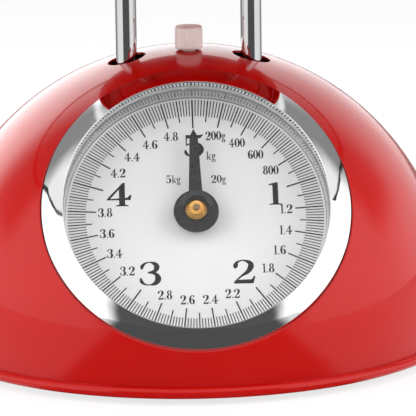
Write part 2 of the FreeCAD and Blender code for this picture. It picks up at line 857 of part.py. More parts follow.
def make_dial_brackets():
    """Two side plates that carry the cup from the chassis."""
    body = new_body("dial_brackets")
    inner = size("chassis_half") - size("chassis_sheet")
    front = size("chassis_front")
    low, high = drive_z - size("bracket_drop"), drive_z + size("bracket_head")
    points = [
        (front + size("bracket_lap"), low),
        (front + size("bracket_lap"), high),
        (front, high),
        cup_point(size("bracket_high")),
        cup_point(size("bracket_low")),
        (front, low),
    ]
    for start in (inner - size("chassis_sheet"), -inner):
        add_pad(body, "YZ", start, size("chassis_sheet"), [points])
    rivets = new_body("bracket_rivets")
    depth = size("rivet_head_depth")
    for start in (inner - size("chassis_sheet") - depth, -inner + size("chassis_sheet")):
        add_pad(rivets, "YZ", start, depth,
                circles=[(y, z, size("rivet_head_radius")) for y, z in bracket_spots()])


def square_spots(x, y):
    return [(x * side, y * end) for side in (-1, 1) for end in (-1, 1)]


def pillar_spots():
    return square_spots(size("pillar_place_x"), size("pillar_place_v"))


def rivet_spots():
    reach = size("rivet_place")
    return [(reach, as_size(0)), (-reach, as_size(0)), (as_size(0), reach), (as_size(0), -reach)]


def make_movement():
    """Two plates held apart by pillars, with a bush in each for the arbor."""
    half = size("movement_half")
    metal = size("movement_sheet")
    outline = box_loop(-half, half, -half, half)
    front = on_dial(new_body("front_movement_plate"))
    holes = [(0, 0, size("bush_radius"))] + [(x, y, size("rivet_radius")) for x, y in rivet_spots()]
    add_pad(front, "XY", front_plate_back, metal, [outline], holes)
    rear = on_dial(new_body("rear_movement_plate"))
    screw_radius = size("movement_screw_radius")
    holes = [(0, 0, size("bush_radius"))] + [(x, y, screw_radius) for x, y in pillar_spots()]
    add_pad(rear, "XY", rear_plate_back, metal, [outline], holes)
    pillars = on_dial(new_body("movement_pillars"))
    add_pad(pillars, "XY", rear_plate_front, size("movement_gap"),
            circles=[(x, y, size("pillar_radius")) for x, y in pillar_spots()])
    add_pocket(pillars, "XY", rear_plate_front - 1, size("pillar_thread") + 1,
               circles=[(x, y, screw_radius) for x, y in pillar_spots()])
    head = size("movement_head_depth")
    on_dial(make_screws("movement_screws", "XY", pillar_spots(), screw_radius,
                        size("movement_screw_head"), rear_plate_back - head, head, rear_plate_back,
                        metal + size("movement_screw_grip")))
    on_dial(make_screws("cup_rivets", "XY", rivet_spots(), size("rivet_radius"), size("rivet_head_radius"),
                        front_plate_back - size("rivet_head_depth"), size("rivet_head_depth"),
                        front_plate_back, metal + size("cup_sheet")))


def make_bushes():
    bore = size("arbor_radius") + size("arbor_play")
    flange = size("bush_flange_radius")
    depth = size("bush_flange_depth")
    front = on_dial(new_body("front_bush"))
    add_turned(front, [
        (bore, front_plate_back - depth), (flange, front_plate_back - depth), (flange, front_plate_back),
        (size("bush_radius"), front_plate_back), (size("bush_radius"), dial_under), (bore, dial_under),
    ])
    rear = on_dial(new_body("rear_bush"))
    add_turned(rear, [
        (bore, rear_plate_back), (size("bush_radius"), rear_plate_back),
        (size("bush_radius"), rear_plate_front),
        (flange, rear_plate_front), (flange, rear_plate_front + depth), (bore, rear_plate_front + depth),
    ])


def make_rack_guide():
    """A channel block that backs the rack against the pinion."""
    body = on_dial(new_body("rack_guide"))
    play = size("guide_play")
    back = pitch + size("rack_back") + play
    low = rack_level - size("rack_width") / 2
    top = rack_level + size("rack_width") / 2 + play + size("guide_lip")
    open_x = pitch + size("guide_opening")
    bottom, head = -size("guide_low"), size("guide_high")
    add_pad(body, "XY", rear_plate_front, top - rear_plate_front,
            [box_loop(open_x, back + size("guide_wall"), bottom, head)])
    add_pocket(body, "XY", low - play, size("rack_width") + play + play,
               [box_loop(open_x - 1, back, bottom - 1, head + 1)])


# ---- rack, pinion and pointer ----
def make_rack():
    body = on_dial(new_body("rack"))
    low = rack_level - size("rack_width") / 2
    back = pitch + size("rack_back")
    root_x = pitch + TOOTH_ROOT
    add_pad(body, "XY", low, size("rack_width"),
            [box_loop(root_x, back, -size("rack_tail"), size("yoke_place"))])
    slope = math.tan(math.radians(PRESSURE_ANGLE))
    root_half = TOOTH_HALF + TOOTH_ROOT * slope
    tip_half = TOOTH_HALF - RACK_ADDENDUM * slope
    first = tooth_pitch * -2.5
    tooth = add_pad(body, "XY", low, size("rack_width"), [[
        (root_x + 0.2, first - root_half), (root_x + 0.2, first + root_half), (root_x, first + root_half),
        (pitch - RACK_ADDENDUM, first + tip_half), (pitch - RACK_ADDENDUM, first - tip_half),
        (root_x, first - root_half),
    ]])
    row = body.newObject("PartDesign::LinearPattern", "rack_teeth")
    row.Originals = [tooth]
    row.Direction = (origin_feature(body, "Y_Axis"), [""])
    row.Occurrences = RACK_TEETH
    row.Length = (tooth_pitch * (RACK_TEETH - 1)).number
    row.setExpression("Length", (tooth_pitch * (RACK_TEETH - 1)).text)
    body.Tip = row
    along = (sine(tilt), -cosine(tilt))
    across = (cosine(tilt), sine(tilt))

    def yoke_point(run, side):
        """A point of the yoke, by its run along the slot and its distance to one side."""
        return (size("yoke_place") + along[0] * run + across[0] * side,
                rack_level + along[1] * run + across[1] * side)

    yoke_half = size("rack_yoke_half")
    low_end = -size("hook_pin_radius") - size("rack_yoke_margin")
    high_end = slot_run + size("hook_pin_radius") + size("rack_yoke_margin")
    corners = [yoke_point(low_end, -yoke_half), yoke_point(high_end, -yoke_half),
               yoke_point(high_end, yoke_half), yoke_point(low_end, yoke_half)]
    add_pad(body, "YZ", root_x, back - root_x, [corners])
    slot_half = size("hook_pin_radius") + size("rack_slot_play")
    start = yoke_point(-size("rack_slot_spare"), 0)
    end = yoke_point(slot_run + size("rack_slot_spare"), 0)
    slot = [
        (start[0] - across[0] * slot_half, start[1] - across[1] * slot_half),
        (end[0] - across[0] * slot_half, end[1] - across[1] * slot_half, None, 1),
        (end[0] + across[0] * slot_half, end[1] + across[1] * slot_half),
        (start[0] + across[0] * slot_half, start[1] + across[1] * slot_half, None, 1),
    ]
    add_pocket(body, "YZ", root_x - 1, back - root_x + 2, [slot])


def involute_half_width(radius):
    """Half the pinion tooth's width at a radius, on the flank that meets a straight-sided rack."""
    centre_radius = pitch.number
    angle = math.radians(PRESSURE_ANGLE)
    base = centre_radius * math.cos(angle)
    roll = math.acos(min(base / radius, 1))
    spread = TOOTH_HALF / centre_radius + (math.tan(angle) - angle) - (math.tan(roll) - roll)
    return radius * math.sin(spread)


def make_pinion():
    body = on_dial(new_body("pinion"))
    low = rack_level - size("pinion_width") / 2
    root_radius = pitch - TOOTH_ROOT
    add_pad(body, "XY", low, size("pinion_width"), circles=[(0, 0, root_radius)])
    base_radius = pitch.number * math.cos(math.radians(PRESSURE_ANGLE))
    tip_radius = pitch.number + PINION_ADDENDUM
    stations = [base_radius, pitch.number, (pitch.number + tip_radius) / 2, tip_radius]
    flank = [(radius - pitch.number, involute_half_width(radius)) for radius in stations]
    lower = [(pitch + step, -half) for step, half in flank]
    upper = [(pitch + step, half) for step, half in reversed(flank)]
    foot_half = flank[0][1] * 0.85
    tooth = add_pad(body, "XY", low, size("pinion_width"),
                    [[(root_radius - 0.3, -foot_half)] + lower + upper + [(root_radius - 0.3, foot_half)]])
    repeat_round(body, tooth, PINION_TEETH)
    add_pocket(body, "XY", low - 1, size("pinion_width") + 2, circles=[(0, 0, size("arbor_radius"))])


def make_arbor():
    body = on_dial(new_body("arbor"))
    low = rear_plate_back - size("arbor_tail")
    high = pointer_top + size("nut_height") + size("arbor_tip")
    add_pad(body, "XY", low, high - low, circles=[(0, 0, size("arbor_radius"))])


def make_pointer():
    hub = on_dial(new_body("pointer_hub"))
    ring(hub, size("arbor_radius"), size("hub_radius"), hub_under, pointer_under)
    pointer = on_dial(new_body("pointer"))
    disc = size("pointer_disc_radius")
    add_pad(pointer, "XY", pointer_under, size("pointer_sheet"), circles=[(0, 0, disc)])
    reach = dial_edge - size("pointer_margin")
    shoulder = reach - size("pointer_tip_length")
    root_half = size("pointer_root_half")
    end_half = size("pointer_end_half")
    add_pad(pointer, "XY", pointer_under, size("pointer_sheet"), [[
        (-root_half, disc * 0.5), (root_half, disc * 0.5), (root_half, disc * 0.9), (end_half, shoulder),
        (0, reach), (-end_half, shoulder), (-root_half, disc * 0.9),
    ]])
    add_pocket(pointer, "XY", pointer_under - 1, size("pointer_sheet") + 2,
               circles=[(0, 0, size("arbor_radius"))])
    nut = on_dial(new_body("hub_nut"))
    top = pointer_top + size("nut_height")
    add_turned(nut, [
        (size("arbor_radius"), pointer_top), (size("nut_radius"), pointer_top),
        (size("nut_radius"), pointer_top + size("nut_flange")), (size("nut_crown_radius"), top),
        (size("arbor_radius"), top),
    ])


# ---- carriage ----
def post_spots():
    return [(-post_x, post_y), (post_x, post_y)]


def make_posts():
    for name, x in (("left_post", -post_x), ("right_post", post_x)):
        body = new_body(name)
        add_pad(body, "XY", lower_head_under, platform_under - lower_head_under, circles=[
            (x, post_y, size("post_radius")), (x, post_y, size("post_radius") - size("post_wall"))])
    plugs = new_body("post_plugs")
    circles = []
    for x, y in post_spots():
        circles += [(x, y, size("post_radius") - size("post_wall")), (x, y, size("screw_radius"))]
    add_pad(plugs, "XY", platform_under - size("plug_length"), size("plug_length"), circles=circles)


def make_crosshead(name, under, depth):
    """A bar across the posts with ears at its back for the arm's pin."""
    body = new_body(name)
    half = size("crosshead_half")
    add_pad(body, "XY", under, depth, [box_loop(-half, half, head_front, head_back)])
    inner = size("ear_inner")
    for start in (inner, -inner - size("ear_sheet")):
        add_pad(body, "YZ", start, size("ear_sheet"),
                [box_loop(head_back - 1, head_back + size("ear_reach"), under, under + depth)])
    middle = under + depth / 2
    add_pocket(body, "XY", under - 1, depth + 2,
               circles=[(x, y, size("post_radius")) for x, y in post_spots()])
    add_pocket(body, "YZ", -half, half + half, circles=[(ear_pin_y, middle, size("arm_pin_radius"))])
    screw_spots = [(x, middle, size("set_screw_radius")) for x, _ in post_spots()]
    add_pocket(body, "XZ", head_front - 1, size("crosshead_width") / 2, circles=screw_spots)
    return body


def make_crossheads():
    upper = make_crosshead("upper_crosshead", upper_head_under, size("upper_head_depth"))
    spring_holes = [(size("spring_place") * side, post_y, size("spring_hole_radius")) for side in (-1, 1)]
    add_pocket(upper, "XY", upper_head_under - 1, size("upper_head_depth") + 2, circles=spring_holes)
    drive_hole = (drive_screw_x, upper_ear_z, size("set_screw_radius"))
    add_pocket(upper, "XZ", head_front - 1, size("set_screw_thread") + 1, circles=[drive_hole])
    lower = make_crosshead("lower_crosshead", lower_head_under, size("lower_head_depth"))
    add_pocket(lower, "XY", lower_head_under - 1, size("lower_head_depth") + 2, hook_slots())
    add_pocket(lower, "XZ", head_front - 1, size("crosshead_width") + 2,
               circles=hook_pin_spots(lower_spring_pin_z))
    screws = new_body("crosshead_screws")
    for middle in (upper_ear_z, lower_ear_z):
        spots = [(x, middle, size("set_screw_radius")) for x, _ in post_spots()]
        length = size("crosshead_width") / 2 - size("post_radius")
        add_pad(screws, "XZ", head_front, length, circles=spots)


def hook_slots():
    """Slots that the spring hooks stand in."""
    half = size("hook_slot_half")
    side = size("hook_slot_width") / 2
    return [box_loop(size("spring_place") * end - half, size("spring_place") * end + half,
                     post_y - side, post_y + side) for end in (-1, 1)]


def hook_pin_spots(level):
    return [(size("spring_place") * side, level, size("hook_pin_radius")) for side in (-1, 1)]


def make_spring_pins():
    lower = new_body("lower_spring_pins")
    add_pad(lower, "XZ", head_front, size("crosshead_width"), circles=hook_pin_spots(lower_spring_pin_z))
    upper = new_body("yoke_pins")
    add_pad(upper, "XZ", post_y - size("yoke_width") / 2, size("yoke_width"),
            circles=hook_pin_spots(yoke_pin_z))


def make_carriage_pins():
    half = size("arm_cheek_inner") + size("arm_cheek") + size("pin_overhang")
    for name, level in (("upper_carriage_pin", upper_ear_z), ("lower_carriage_pin", lower_ear_z)):
        body = new_body(name)
        add_pad(body, "YZ", -half, half + half, circles=[(ear_pin_y, level, size("arm_pin_radius"))])


def make_drive():
    """The bracket on the upper crosshead that carries the pin in the rack's yoke."""
    body = new_body("drive_bracket")
    foot_front = head_front - size("chassis_sheet")
    add_pad(body, "XZ", foot_front, size("chassis_sheet"),
            [box_loop(drive_x, drive_x + size("drive_foot"), upper_head_under, upper_head_top)],
            [(drive_screw_x, upper_ear_z, size("set_screw_radius"))])
    metal = size("drive_sheet")
    eye = size("drive_eye")
    neck = drive_y + size("drive_pin_rim")
    add_pad(body, "YZ", drive_x, metal, [[
        (head_front, upper_head_under), (head_front, upper_head_top), (neck, drive_z + eye),
        (drive_y - eye, drive_z + eye), (drive_y - eye, drive_z - eye), (neck, drive_z - eye),
    ]])
    add_pocket(body, "YZ", drive_x - 1, metal + 2, circles=[(drive_y, drive_z, size("hook_pin_radius"))])
    pin = new_body("drive_pin")
    start = pitch - 1
    add_pad(pin, "YZ", start, drive_x + metal - start, circles=[(drive_y, drive_z, size("hook_pin_radius"))])
    add_pad(pin, "YZ", drive_x + metal, size("drive_pin_head"),
            circles=[(drive_y, drive_z, size("hook_pin_radius") + size("drive_pin_rim"))])
    head = size("set_screw_head")
    make_screws("drive_screw", "XZ", [(drive_screw_x, upper_ear_z)], size("set_screw_radius"),
                size("rivet_head_radius"), foot_front - head, head, foot_front,
                size("chassis_sheet") + size("set_screw_grip"))


def make_platform():
    body = place(new_body("platform"), 0, post_y, 0)
    metal = size("platform_sheet")
    well = size("platform_well")
    outer = size("platform_radius")
    bend = size("platform_bend")
    slope = size("well_slope")
    corner = size("well_corner")
    top = well_floor + size("well_depth")
    add_turned(body, [
        (0, platform_under), (well + corner, platform_under), (well + slope + corner, top - metal),
        (outer - bend, top - metal, bend - metal, -1), (outer - metal, top - bend),
        (outer - metal, top - size("platform_rim")), (outer, top - size("platform_rim")),
        (outer, top - bend, bend, 1), (outer - bend, top),
        (well + slope, top), (well, well_floor), (0, well_floor),
    ])
    add_pocket(body, "XY", platform_under - 1, metal + 2,
               circles=[(-post_x, 0, size("screw_radius")), (post_x, 0, size("screw_radius"))])
    make_screws("platform_screws", "XY", post_spots(), size("screw_radius"), size("platform_screw_head"),
                well_floor, size("platform_screw_cap"), platform_under - size("platform_screw_length"),
                metal + size("platform_screw_length"))


def make_bowl():
    body = place(new_body("bowl"), 0, post_y, 0)
    metal = size("bowl_sheet")
    foot = size("bowl_foot_radius")
    recess = foot - size("bowl_foot_width")
    top = bowl_base + size("bowl_depth")
    bead = size("bowl_bead_rise")
    reach = size("bowl_bead_reach")
    rim = size("bowl_radius") - reach
    shoulder = foot + size("bowl_foot_flare")
    slope = size("bowl_foot_slope")
    corner = size("bowl_foot_corner")
    shoulder_z = bowl_base + size("bowl_foot_rise")
    bead_round = (bead * bead / 4 + reach * reach) / (2 * reach)
    add_turned(body, [
        (0, shoulder_z), (recess - slope, shoulder_z),
        (recess, bowl_base), (foot, bowl_base), (shoulder, shoulder_z, size("bowl_curve"), 1),
        (rim, top - bead, bead_round, 1), (rim, top), (rim - metal, top),
        (rim - metal, top - bead, size("bowl_curve") - metal, -1), (shoulder, shoulder_z + metal),
        (foot - metal, shoulder_z + metal), (foot - metal, bowl_base + metal),
        (recess + corner, bowl_base + metal), (recess - slope + corner, shoulder_z + metal),
        (0, shoulder_z + metal),
    ])


# ---- arms ----
def make_arm(name, level):
    """Two cheeks and a web. The slot at the front end gives the carriage pin room as the arm swings."""
    body = new_body(name)
    lean = arc_sine(half_travel / arm_length)
    place(body, 0, size("arm_pivot_y"), level - half_travel, -lean)
    half = size("arm_half_depth")
    outer = size("arm_cheek_inner")
    play = size("arm_play")
    slot_half = size("arm_pin_radius") + play
    far = -arm_length - play
    near = -arm_run + play
    cheek = [
        (far, -half), (0, -half, None, 1), (0, half), (far, half, None, 1),
    ]
    slot = [
        (far, -slot_half), (near, -slot_half, None, 1), (near, slot_half), (far, slot_half, None, 1),
    ]
    for start in (outer, -outer - size("arm_cheek")):
        add_pad(body, "YZ", start, size("arm_cheek"), [cheek])
    width = outer + outer
    web_half = size("web_sheet") / 2
    add_pad(body, "YZ", -outer, width,
            [box_loop(-arm_run + size("web_front"), -size("web_back"), -web_half, web_half)])
    reach = outer + size("arm_cheek") + 1
    bore = size("frame_pin_radius") + size("arbor_play")
    add_pocket(body, "YZ", -reach, reach + reach, [slot], [(0, 0, bore)])


# ---- zero adjuster and springs ----
def make_zero_adjuster():
    play = size("zero_play")
    radius = size("zero_screw_radius")
    bush_flange_top = bridge_top + size("zero_flange_depth")
    bush = place(new_body("zero_bush"), 0, post_y, 0)
    add_turned(bush, [
        (radius + play, bridge_under), (size("zero_bush_radius"), bridge_under),
        (size("zero_bush_radius"), bridge_top), (size("zero_flange_radius"), bridge_top),
        (size("zero_flange_radius"), bush_flange_top), (radius + play, bush_flange_top),
    ])
    collar_under = bush_flange_top + size("zero_gap")
    collar_top = collar_under + size("zero_collar_depth")
    screw_top = collar_top + size("zero_stub")
    chamfer = size("zero_chamfer")
    screw_end = yoke_under - size("screw_tail")
    screw = place(new_body("zero_screw"), 0, post_y, 0)
    add_turned(screw, [
        (0, screw_end), (radius - chamfer, screw_end), (radius, screw_end + chamfer), (radius, collar_under),
        (radius * 2, collar_under), (radius * 2, collar_top), (radius, collar_top), (radius, screw_top),
        (0, screw_top),
    ])
    clip = place(new_body("zero_clip"), 0, post_y, 0)
    clip_top = bridge_under - size("zero_gap")
    ring(clip, radius, radius * 2, clip_top - size("zero_clip_depth"), clip_top)
    knob = place(new_body("zero_knob"), 0, post_y, 0)
    knob_under = dome_top + size("knob_gap")
    knob_top = knob_under + size("knob_height")
    rounding = size("knob_round")
    grip = size("knob_radius")
    add_turned(knob, [
        (0, screw_top), (radius, screw_top), (radius, collar_top), (size("stem_radius"), collar_top),
        (size("stem_radius"), knob_under), (grip - rounding, knob_under, rounding, 1),
        (grip, knob_under + rounding), (grip, knob_top - rounding, rounding, 1),
        (grip - rounding, knob_top), (0, knob_top),
    ])
    flute_x = grip + size("flute_radius") - size("flute_depth")
    margin = size("flute_margin")
    flute = add_pocket(knob, "XY", knob_under + margin, size("knob_height") - margin - margin,
                       circles=[(flute_x, 0, size("flute_radius"))])
    repeat_round(knob, flute, FLUTES)
    yoke = new_body("spring_yoke")
    front = post_y - size("yoke_width") / 2
    back = post_y + size("yoke_width") / 2
    half = size("yoke_half")
    add_pad(yoke, "XY", yoke_under, size("yoke_depth"), [box_loop(-half, half, front, back)],
            [(0, post_y, radius + play)])
    add_pocket(yoke, "XY", yoke_under - 1, size("yoke_depth") + 2, hook_slots())
    add_pocket(yoke, "XZ", front - 1, size("yoke_width") + 2, circles=hook_pin_spots(yoke_pin_z))


def make_spring(name, side):
    """A close coil with an upright hook at each end."""
    body = place(new_body(name), size("spring_place") * side, post_y, 0)
    wire = size("spring_wire")
    coil = size("spring_radius")
    hook = size("hook_radius")
    top = upper_hook_z - hook - wire * 0.8
    bottom = lower_hook_z + hook + wire * 0.8
    profile = new_sketch(body, "XZ", 0)
    draw_circle(profile, coil, bottom, wire)
    helix = body.newObject("PartDesign::AdditiveHelix", f"{name}_coil")
    helix.Profile = profile
    helix.ReferenceAxis = (origin_feature(body, "Z_Axis"), [""])
    helix.Mode = "height-turns-angle"
    turns = round((top.number - bottom.number) / SIZES["spring_pitch"])
    helix.Height = (top - bottom).number
    helix.setExpression("Height", (top - bottom).text)
    helix.Turns = turns
    body.Tip = helix
    for index, (level, tie) in enumerate(((upper_hook_z, top), (lower_hook_z, bottom))):
        loop = body.newObject("PartDesign::AdditiveTorus", f"{name}_hook_{index}")
        loop.Radius1 = hook.number
        loop.setExpression("Radius1", hook.text)
        loop.Radius2 = wire.number
        loop.setExpression("Radius2", wire.text)
        place(loop, 0, 0, level, 90)
        link = body.newObject("PartDesign::AdditiveCylinder", f"{name}_tie_{index}")
        link.Radius = wire.number
        link.setExpression("Radius", wire.text)
        link.Height = coil.number
        link.setExpression("Height", coil.text)
        link.Placement = FreeCAD.Placement(FreeCAD.Vector(0, 0, tie.number),
                                           FreeCAD.Rotation(FreeCAD.Vector(0, 1, 0), 90))
        link.setExpression("Placement.Base.z", tie.text)
        body.Tip = link


def check_and_write():
    """Refuse a failed feature or a bad solid, then write one STEP file for each node."""
    doc.recompute()
    for item in doc.Objects:
        if "Invalid" in item.State or "Error" in item.State:
            raise RuntimeError(f"{item.Name} failed: {item.State}")
    os.makedirs("parts", exist_ok=True)
    for node in NODES:
        if node.Shape.isNull() or not node.Shape.isValid() or not node.Shape.Solids:
            raise RuntimeError(f"{node.Label} has no valid solid")
    for node in NODES:
        node.Shape.exportStep(f"parts/{node.Label}.step")


make_dome_shell()
make_base_pan()
make_rubber_feet()
make_skirt_tabs()
make_base_screws()
make_chassis_frame()
make_frame_pins()
make_dial_bezel()
make_dial_lens()
make_lens_gasket()
make_dial_cup()
make_dial_plate()
make_dial_brackets()
make_movement()
make_bushes()
make_rack_guide()
make_rack()
make_pinion()
make_arbor()
make_pointer()
make_posts()
make_crossheads()
make_spring_pins()
make_carriage_pins()
make_drive()
make_platform()
make_bowl()
make_arm("upper_arm", upper_ear_z)
make_arm("lower_arm", lower_ear_z)
make_zero_adjuster()
make_spring("left_spring", -1)
make_spring("right_spring", 1)
check_and_write()
print(len(NODES), "nodes; load travel", round(load_travel.number, 4))
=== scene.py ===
"""Looks for the dial kitchen scale: camera, studio, materials, and the printing on the dial."""
import json
import math

import bmesh
import bpy
from mathutils import Matrix, Vector


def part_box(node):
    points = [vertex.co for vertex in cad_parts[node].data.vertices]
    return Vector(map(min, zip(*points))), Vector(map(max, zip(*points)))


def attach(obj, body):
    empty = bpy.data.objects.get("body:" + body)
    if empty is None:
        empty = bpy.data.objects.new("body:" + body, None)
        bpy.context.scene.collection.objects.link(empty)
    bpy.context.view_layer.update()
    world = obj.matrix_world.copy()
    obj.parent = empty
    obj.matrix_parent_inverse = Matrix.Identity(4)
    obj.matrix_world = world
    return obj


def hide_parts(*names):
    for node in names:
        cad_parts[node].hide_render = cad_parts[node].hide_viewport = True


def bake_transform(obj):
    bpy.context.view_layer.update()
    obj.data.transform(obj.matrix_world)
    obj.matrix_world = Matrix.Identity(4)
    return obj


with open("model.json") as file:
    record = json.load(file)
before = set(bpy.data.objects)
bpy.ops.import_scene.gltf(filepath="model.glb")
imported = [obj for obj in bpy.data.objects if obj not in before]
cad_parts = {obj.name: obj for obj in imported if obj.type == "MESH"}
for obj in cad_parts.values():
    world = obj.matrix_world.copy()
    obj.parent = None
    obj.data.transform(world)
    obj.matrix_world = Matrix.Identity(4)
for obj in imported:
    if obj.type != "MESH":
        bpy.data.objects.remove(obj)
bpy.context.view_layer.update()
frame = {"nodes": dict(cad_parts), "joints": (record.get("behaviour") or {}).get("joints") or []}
MM = 0.001

# ---- the dial's own axes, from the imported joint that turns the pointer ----
POINTER = next(joint for joint in frame["joints"] if joint["name"] == "pointer_turn")
OUT = -Vector(POINTER["axis"]).normalized()
ACROSS = Vector((1, 0, 0))
UP_DIAL = OUT.cross(ACROSS)
DOME_RADIUS = 0.12
BALL_CENTRE = Vector((0, 0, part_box("dome_shell")[1].z - DOME_RADIUS))


def dial_face_centre():
    """Where the pointer's axis meets the printed face."""
    on_axis = Vector(POINTER["pos_m"])
    plate = frame["nodes"]["dial_plate"].data.vertices
    level = max((vertex.co - on_axis).dot(OUT) for vertex in plate)
    return on_axis + OUT * level


DIAL_CENTRE = dial_face_centre()


# ---- camera ----
CAMERA_ELEVATION = math.radians(12.0)
CAMERA_AZIMUTH = math.radians(-2.19)
CAMERA_ROLL = math.radians(-0.76)
CAMERA_DISTANCE = 1.5676
CAMERA_LENS = 293.1
CAMERA_REACH = 20
# the point aimed at, from the middle of the dome's ball
AIM_RIGHT = 0.00744
AIM_UP = 0.0436


def add_camera():
    """A long lens a little above the dial, aimed just over the middle of the dome."""
    azimuth, elevation = CAMERA_AZIMUTH, CAMERA_ELEVATION
    ahead = Vector((-math.sin(azimuth) * math.cos(elevation),
                    math.cos(azimuth) * math.cos(elevation), -math.sin(elevation)))
    right = Vector((math.cos(azimuth), math.sin(azimuth), 0))
    up = right.cross(ahead)
    cos_roll, sin_roll = math.cos(CAMERA_ROLL), math.sin(CAMERA_ROLL)
    right, up = right * cos_roll + up * sin_roll, up * cos_roll - right * sin_roll
    aim = BALL_CENTRE + right * AIM_RIGHT + up * AIM_UP
    data = bpy.data.cameras.new("camera")
    data.lens = CAMERA_LENS
    data.clip_end = CAMERA_REACH
    camera = bpy.data.objects.new("camera", data)
    turn = Matrix((right, up, -ahead)).transposed()
    camera.matrix_world = Matrix.Translation(aim - ahead * CAMERA_DISTANCE) @ turn.to_4x4()
    bpy.context.collection.objects.link(camera)
    bpy.context.scene.camera = camera


# ---- node helpers ----
# noise lies mostly between these two values
NOISE_LOW = 0.3
NOISE_HIGH = 0.7


class Finish:
    """A Principled material whose colour, roughness and relief vary over the surface."""

    def __init__(self, name, colour, roughness, metallic=0.0, **sockets):
        self.material = bpy.data.materials.new(name)
        self.material.use_nodes = True
        self.material.diffuse_color = (*colour, 1)
        self.nodes = self.material.node_tree.nodes
        self.links = self.material.node_tree.links
        self.shader = self.nodes["Principled BSDF"]
        self.shader.inputs["Base Color"].default_value = (*colour, 1)
        self.shader.inputs["Roughness"].default_value = roughness
        self.shader.inputs["Metallic"].default_value = metallic
        for socket, value in sockets.items():
            self.shader.inputs[socket.replace("_", " ")].default_value = value
        self.coordinates = self.nodes.new("ShaderNodeTexCoord").outputs["Object"]
        self.bumps = None

    def noise(self, scale, detail, vector=None):
        node = self.nodes.new("ShaderNodeTexNoise")
        node.inputs["Scale"].default_value = scale
        node.inputs["Detail"].default_value = detail
        self.links.new(vector or self.coordinates, node.inputs["Vector"])
        return node.outputs["Fac"]

    def spread(self, value, low, high):
        """Noise spread over a range of values."""
        node = self.nodes.new("ShaderNodeMapRange")
        node.inputs["From Min"].default_value = NOISE_LOW
        node.inputs["From Max"].default_value = NOISE_HIGH
        node.inputs["To Min"].default_value = low
        node.inputs["To Max"].default_value = high
        self.links.new(value, node.inputs["Value"])
        return node.outputs["Result"]

    def blend(self, value, first, second):
        """A colour between two, by noise."""
        ramp = self.nodes.new("ShaderNodeValToRGB")
        ramp.color_ramp.elements[0].position = NOISE_LOW
        ramp.color_ramp.elements[0].color = (*first, 1)
        ramp.color_ramp.elements[1].position = NOISE_HIGH
        ramp.color_ramp.elements[1].color = (*second, 1)
        self.links.new(value, ramp.inputs["Fac"])
        return ramp.outputs["Color"]

    def colour(self, value, first, second):
        self.links.new(self.blend(value, first, second), self.shader.inputs["Base Color"])
        return self

    def roughness(self, value, low, high):
        self.links.new(self.spread(value, low, high), self.shader.inputs["Roughness"])
        return self

    def relief(self, value, strength, depth):
        """Bumps, added to the ones that are there already."""
        node = self.nodes.new("ShaderNodeBump")
        node.inputs["Strength"].default_value = strength
        node.inputs["Distance"].default_value = depth
        self.links.new(value, node.inputs["Height"])
        if self.bumps is not None:
            self.links.new(self.bumps, node.inputs["Normal"])
        self.bumps = node.outputs["Normal"]
        self.links.new(self.bumps, self.shader.inputs["Normal"])
        return self

    def stretched(self, factors):
        """Coordinates scaled differently along each axis, for drawn metal."""
        node = self.nodes.new("ShaderNodeMapping")
        node.inputs["Scale"].default_value = factors
        self.links.new(self.coordinates, node.inputs["Vector"])
        return node.outputs["Vector"]

    def rings(self, centre, scale, axis):
        """Noise that depends only on the distance from an axis: the marks a lathe or spinning leaves."""
        shift = self.nodes.new("ShaderNodeVectorMath")
        shift.operation = "SUBTRACT"
        shift.inputs[1].default_value = centre
        self.links.new(self.coordinates, shift.inputs[0])
        cross = self.nodes.new("ShaderNodeVectorMath")
        cross.operation = "CROSS_PRODUCT"
        cross.inputs[1].default_value = axis
        self.links.new(shift.outputs["Vector"], cross.inputs[0])
        length = self.nodes.new("ShaderNodeVectorMath")
        length.operation = "LENGTH"
        self.links.new(cross.outputs["Vector"], length.inputs[0])
        combine = self.nodes.new("ShaderNodeCombineXYZ")
        self.links.new(length.outputs["Value"], combine.inputs["X"])
        return self.noise(scale, 2.0, combine.outputs["Vector"])


def show(finish, *nodes):
    """Give a finish to CAD nodes."""
    for node in nodes:
        slots = frame["nodes"][node].data.materials
        slots.clear()
        slots.append(finish.material)


# ---- materials ----
DULL_PLATE = 0.82
DRAWN_STRETCH = (0.08, 1, 1)


def red_enamel():
    finish = Finish("red_enamel", (0.50, 0.0042, 0.002), 0.2, Specular_IOR_Level=0.15,
                    Coat_Weight=0.6, Coat_Roughness=0.03)
    finish.colour(finish.noise(9, 2), (0.485, 0.0026, 0.0012), (0.525, 0.0034, 0.0018))
    finish.roughness(finish.noise(60, 4), 0.18, 0.28)
    finish.relief(finish.noise(420, 2), 0.05, 0.00008)
    return finish


def chrome(name, waves):
    """Bright plating. The waves are how much the pressing under it ripples."""
    finish = Finish(name, (0.88, 0.885, 0.89), 0.04, 1.0)
    finish.colour(finish.noise(30, 2), (0.86, 0.865, 0.87), (0.90, 0.905, 0.91))
    finish.roughness(finish.noise(90, 4), 0.02, 0.07)
    finish.relief(finish.noise(55, 2), waves, 0.0004)
    return finish


def bowl_steel():
    finish = Finish("spun_steel", (0.72, 0.72, 0.71), 0.2, 1.0)
    low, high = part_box("bowl")
    lathe = finish.rings((low + high) / 2, 2400, (0, 0, 1))
    finish.colour(finish.noise(14, 3), (0.66, 0.66, 0.655), (0.76, 0.76, 0.75))
    finish.roughness(lathe, 0.16, 0.30)
    finish.relief(lathe, 0.12, 0.00003)
    return finish


def plated_steel(name, colour, rough):
    finish = Finish(name, colour, rough, 1.0)
    darker = tuple(channel * DULL_PLATE for channel in colour)
    drawn = finish.noise(900, 3, finish.stretched(DRAWN_STRETCH))
    finish.colour(finish.noise(55, 5), darker, colour)
    finish.roughness(finish.noise(140, 5), rough * 0.8, rough * 1.35)
    finish.relief(drawn, 0.12, 0.00004)
    return finish


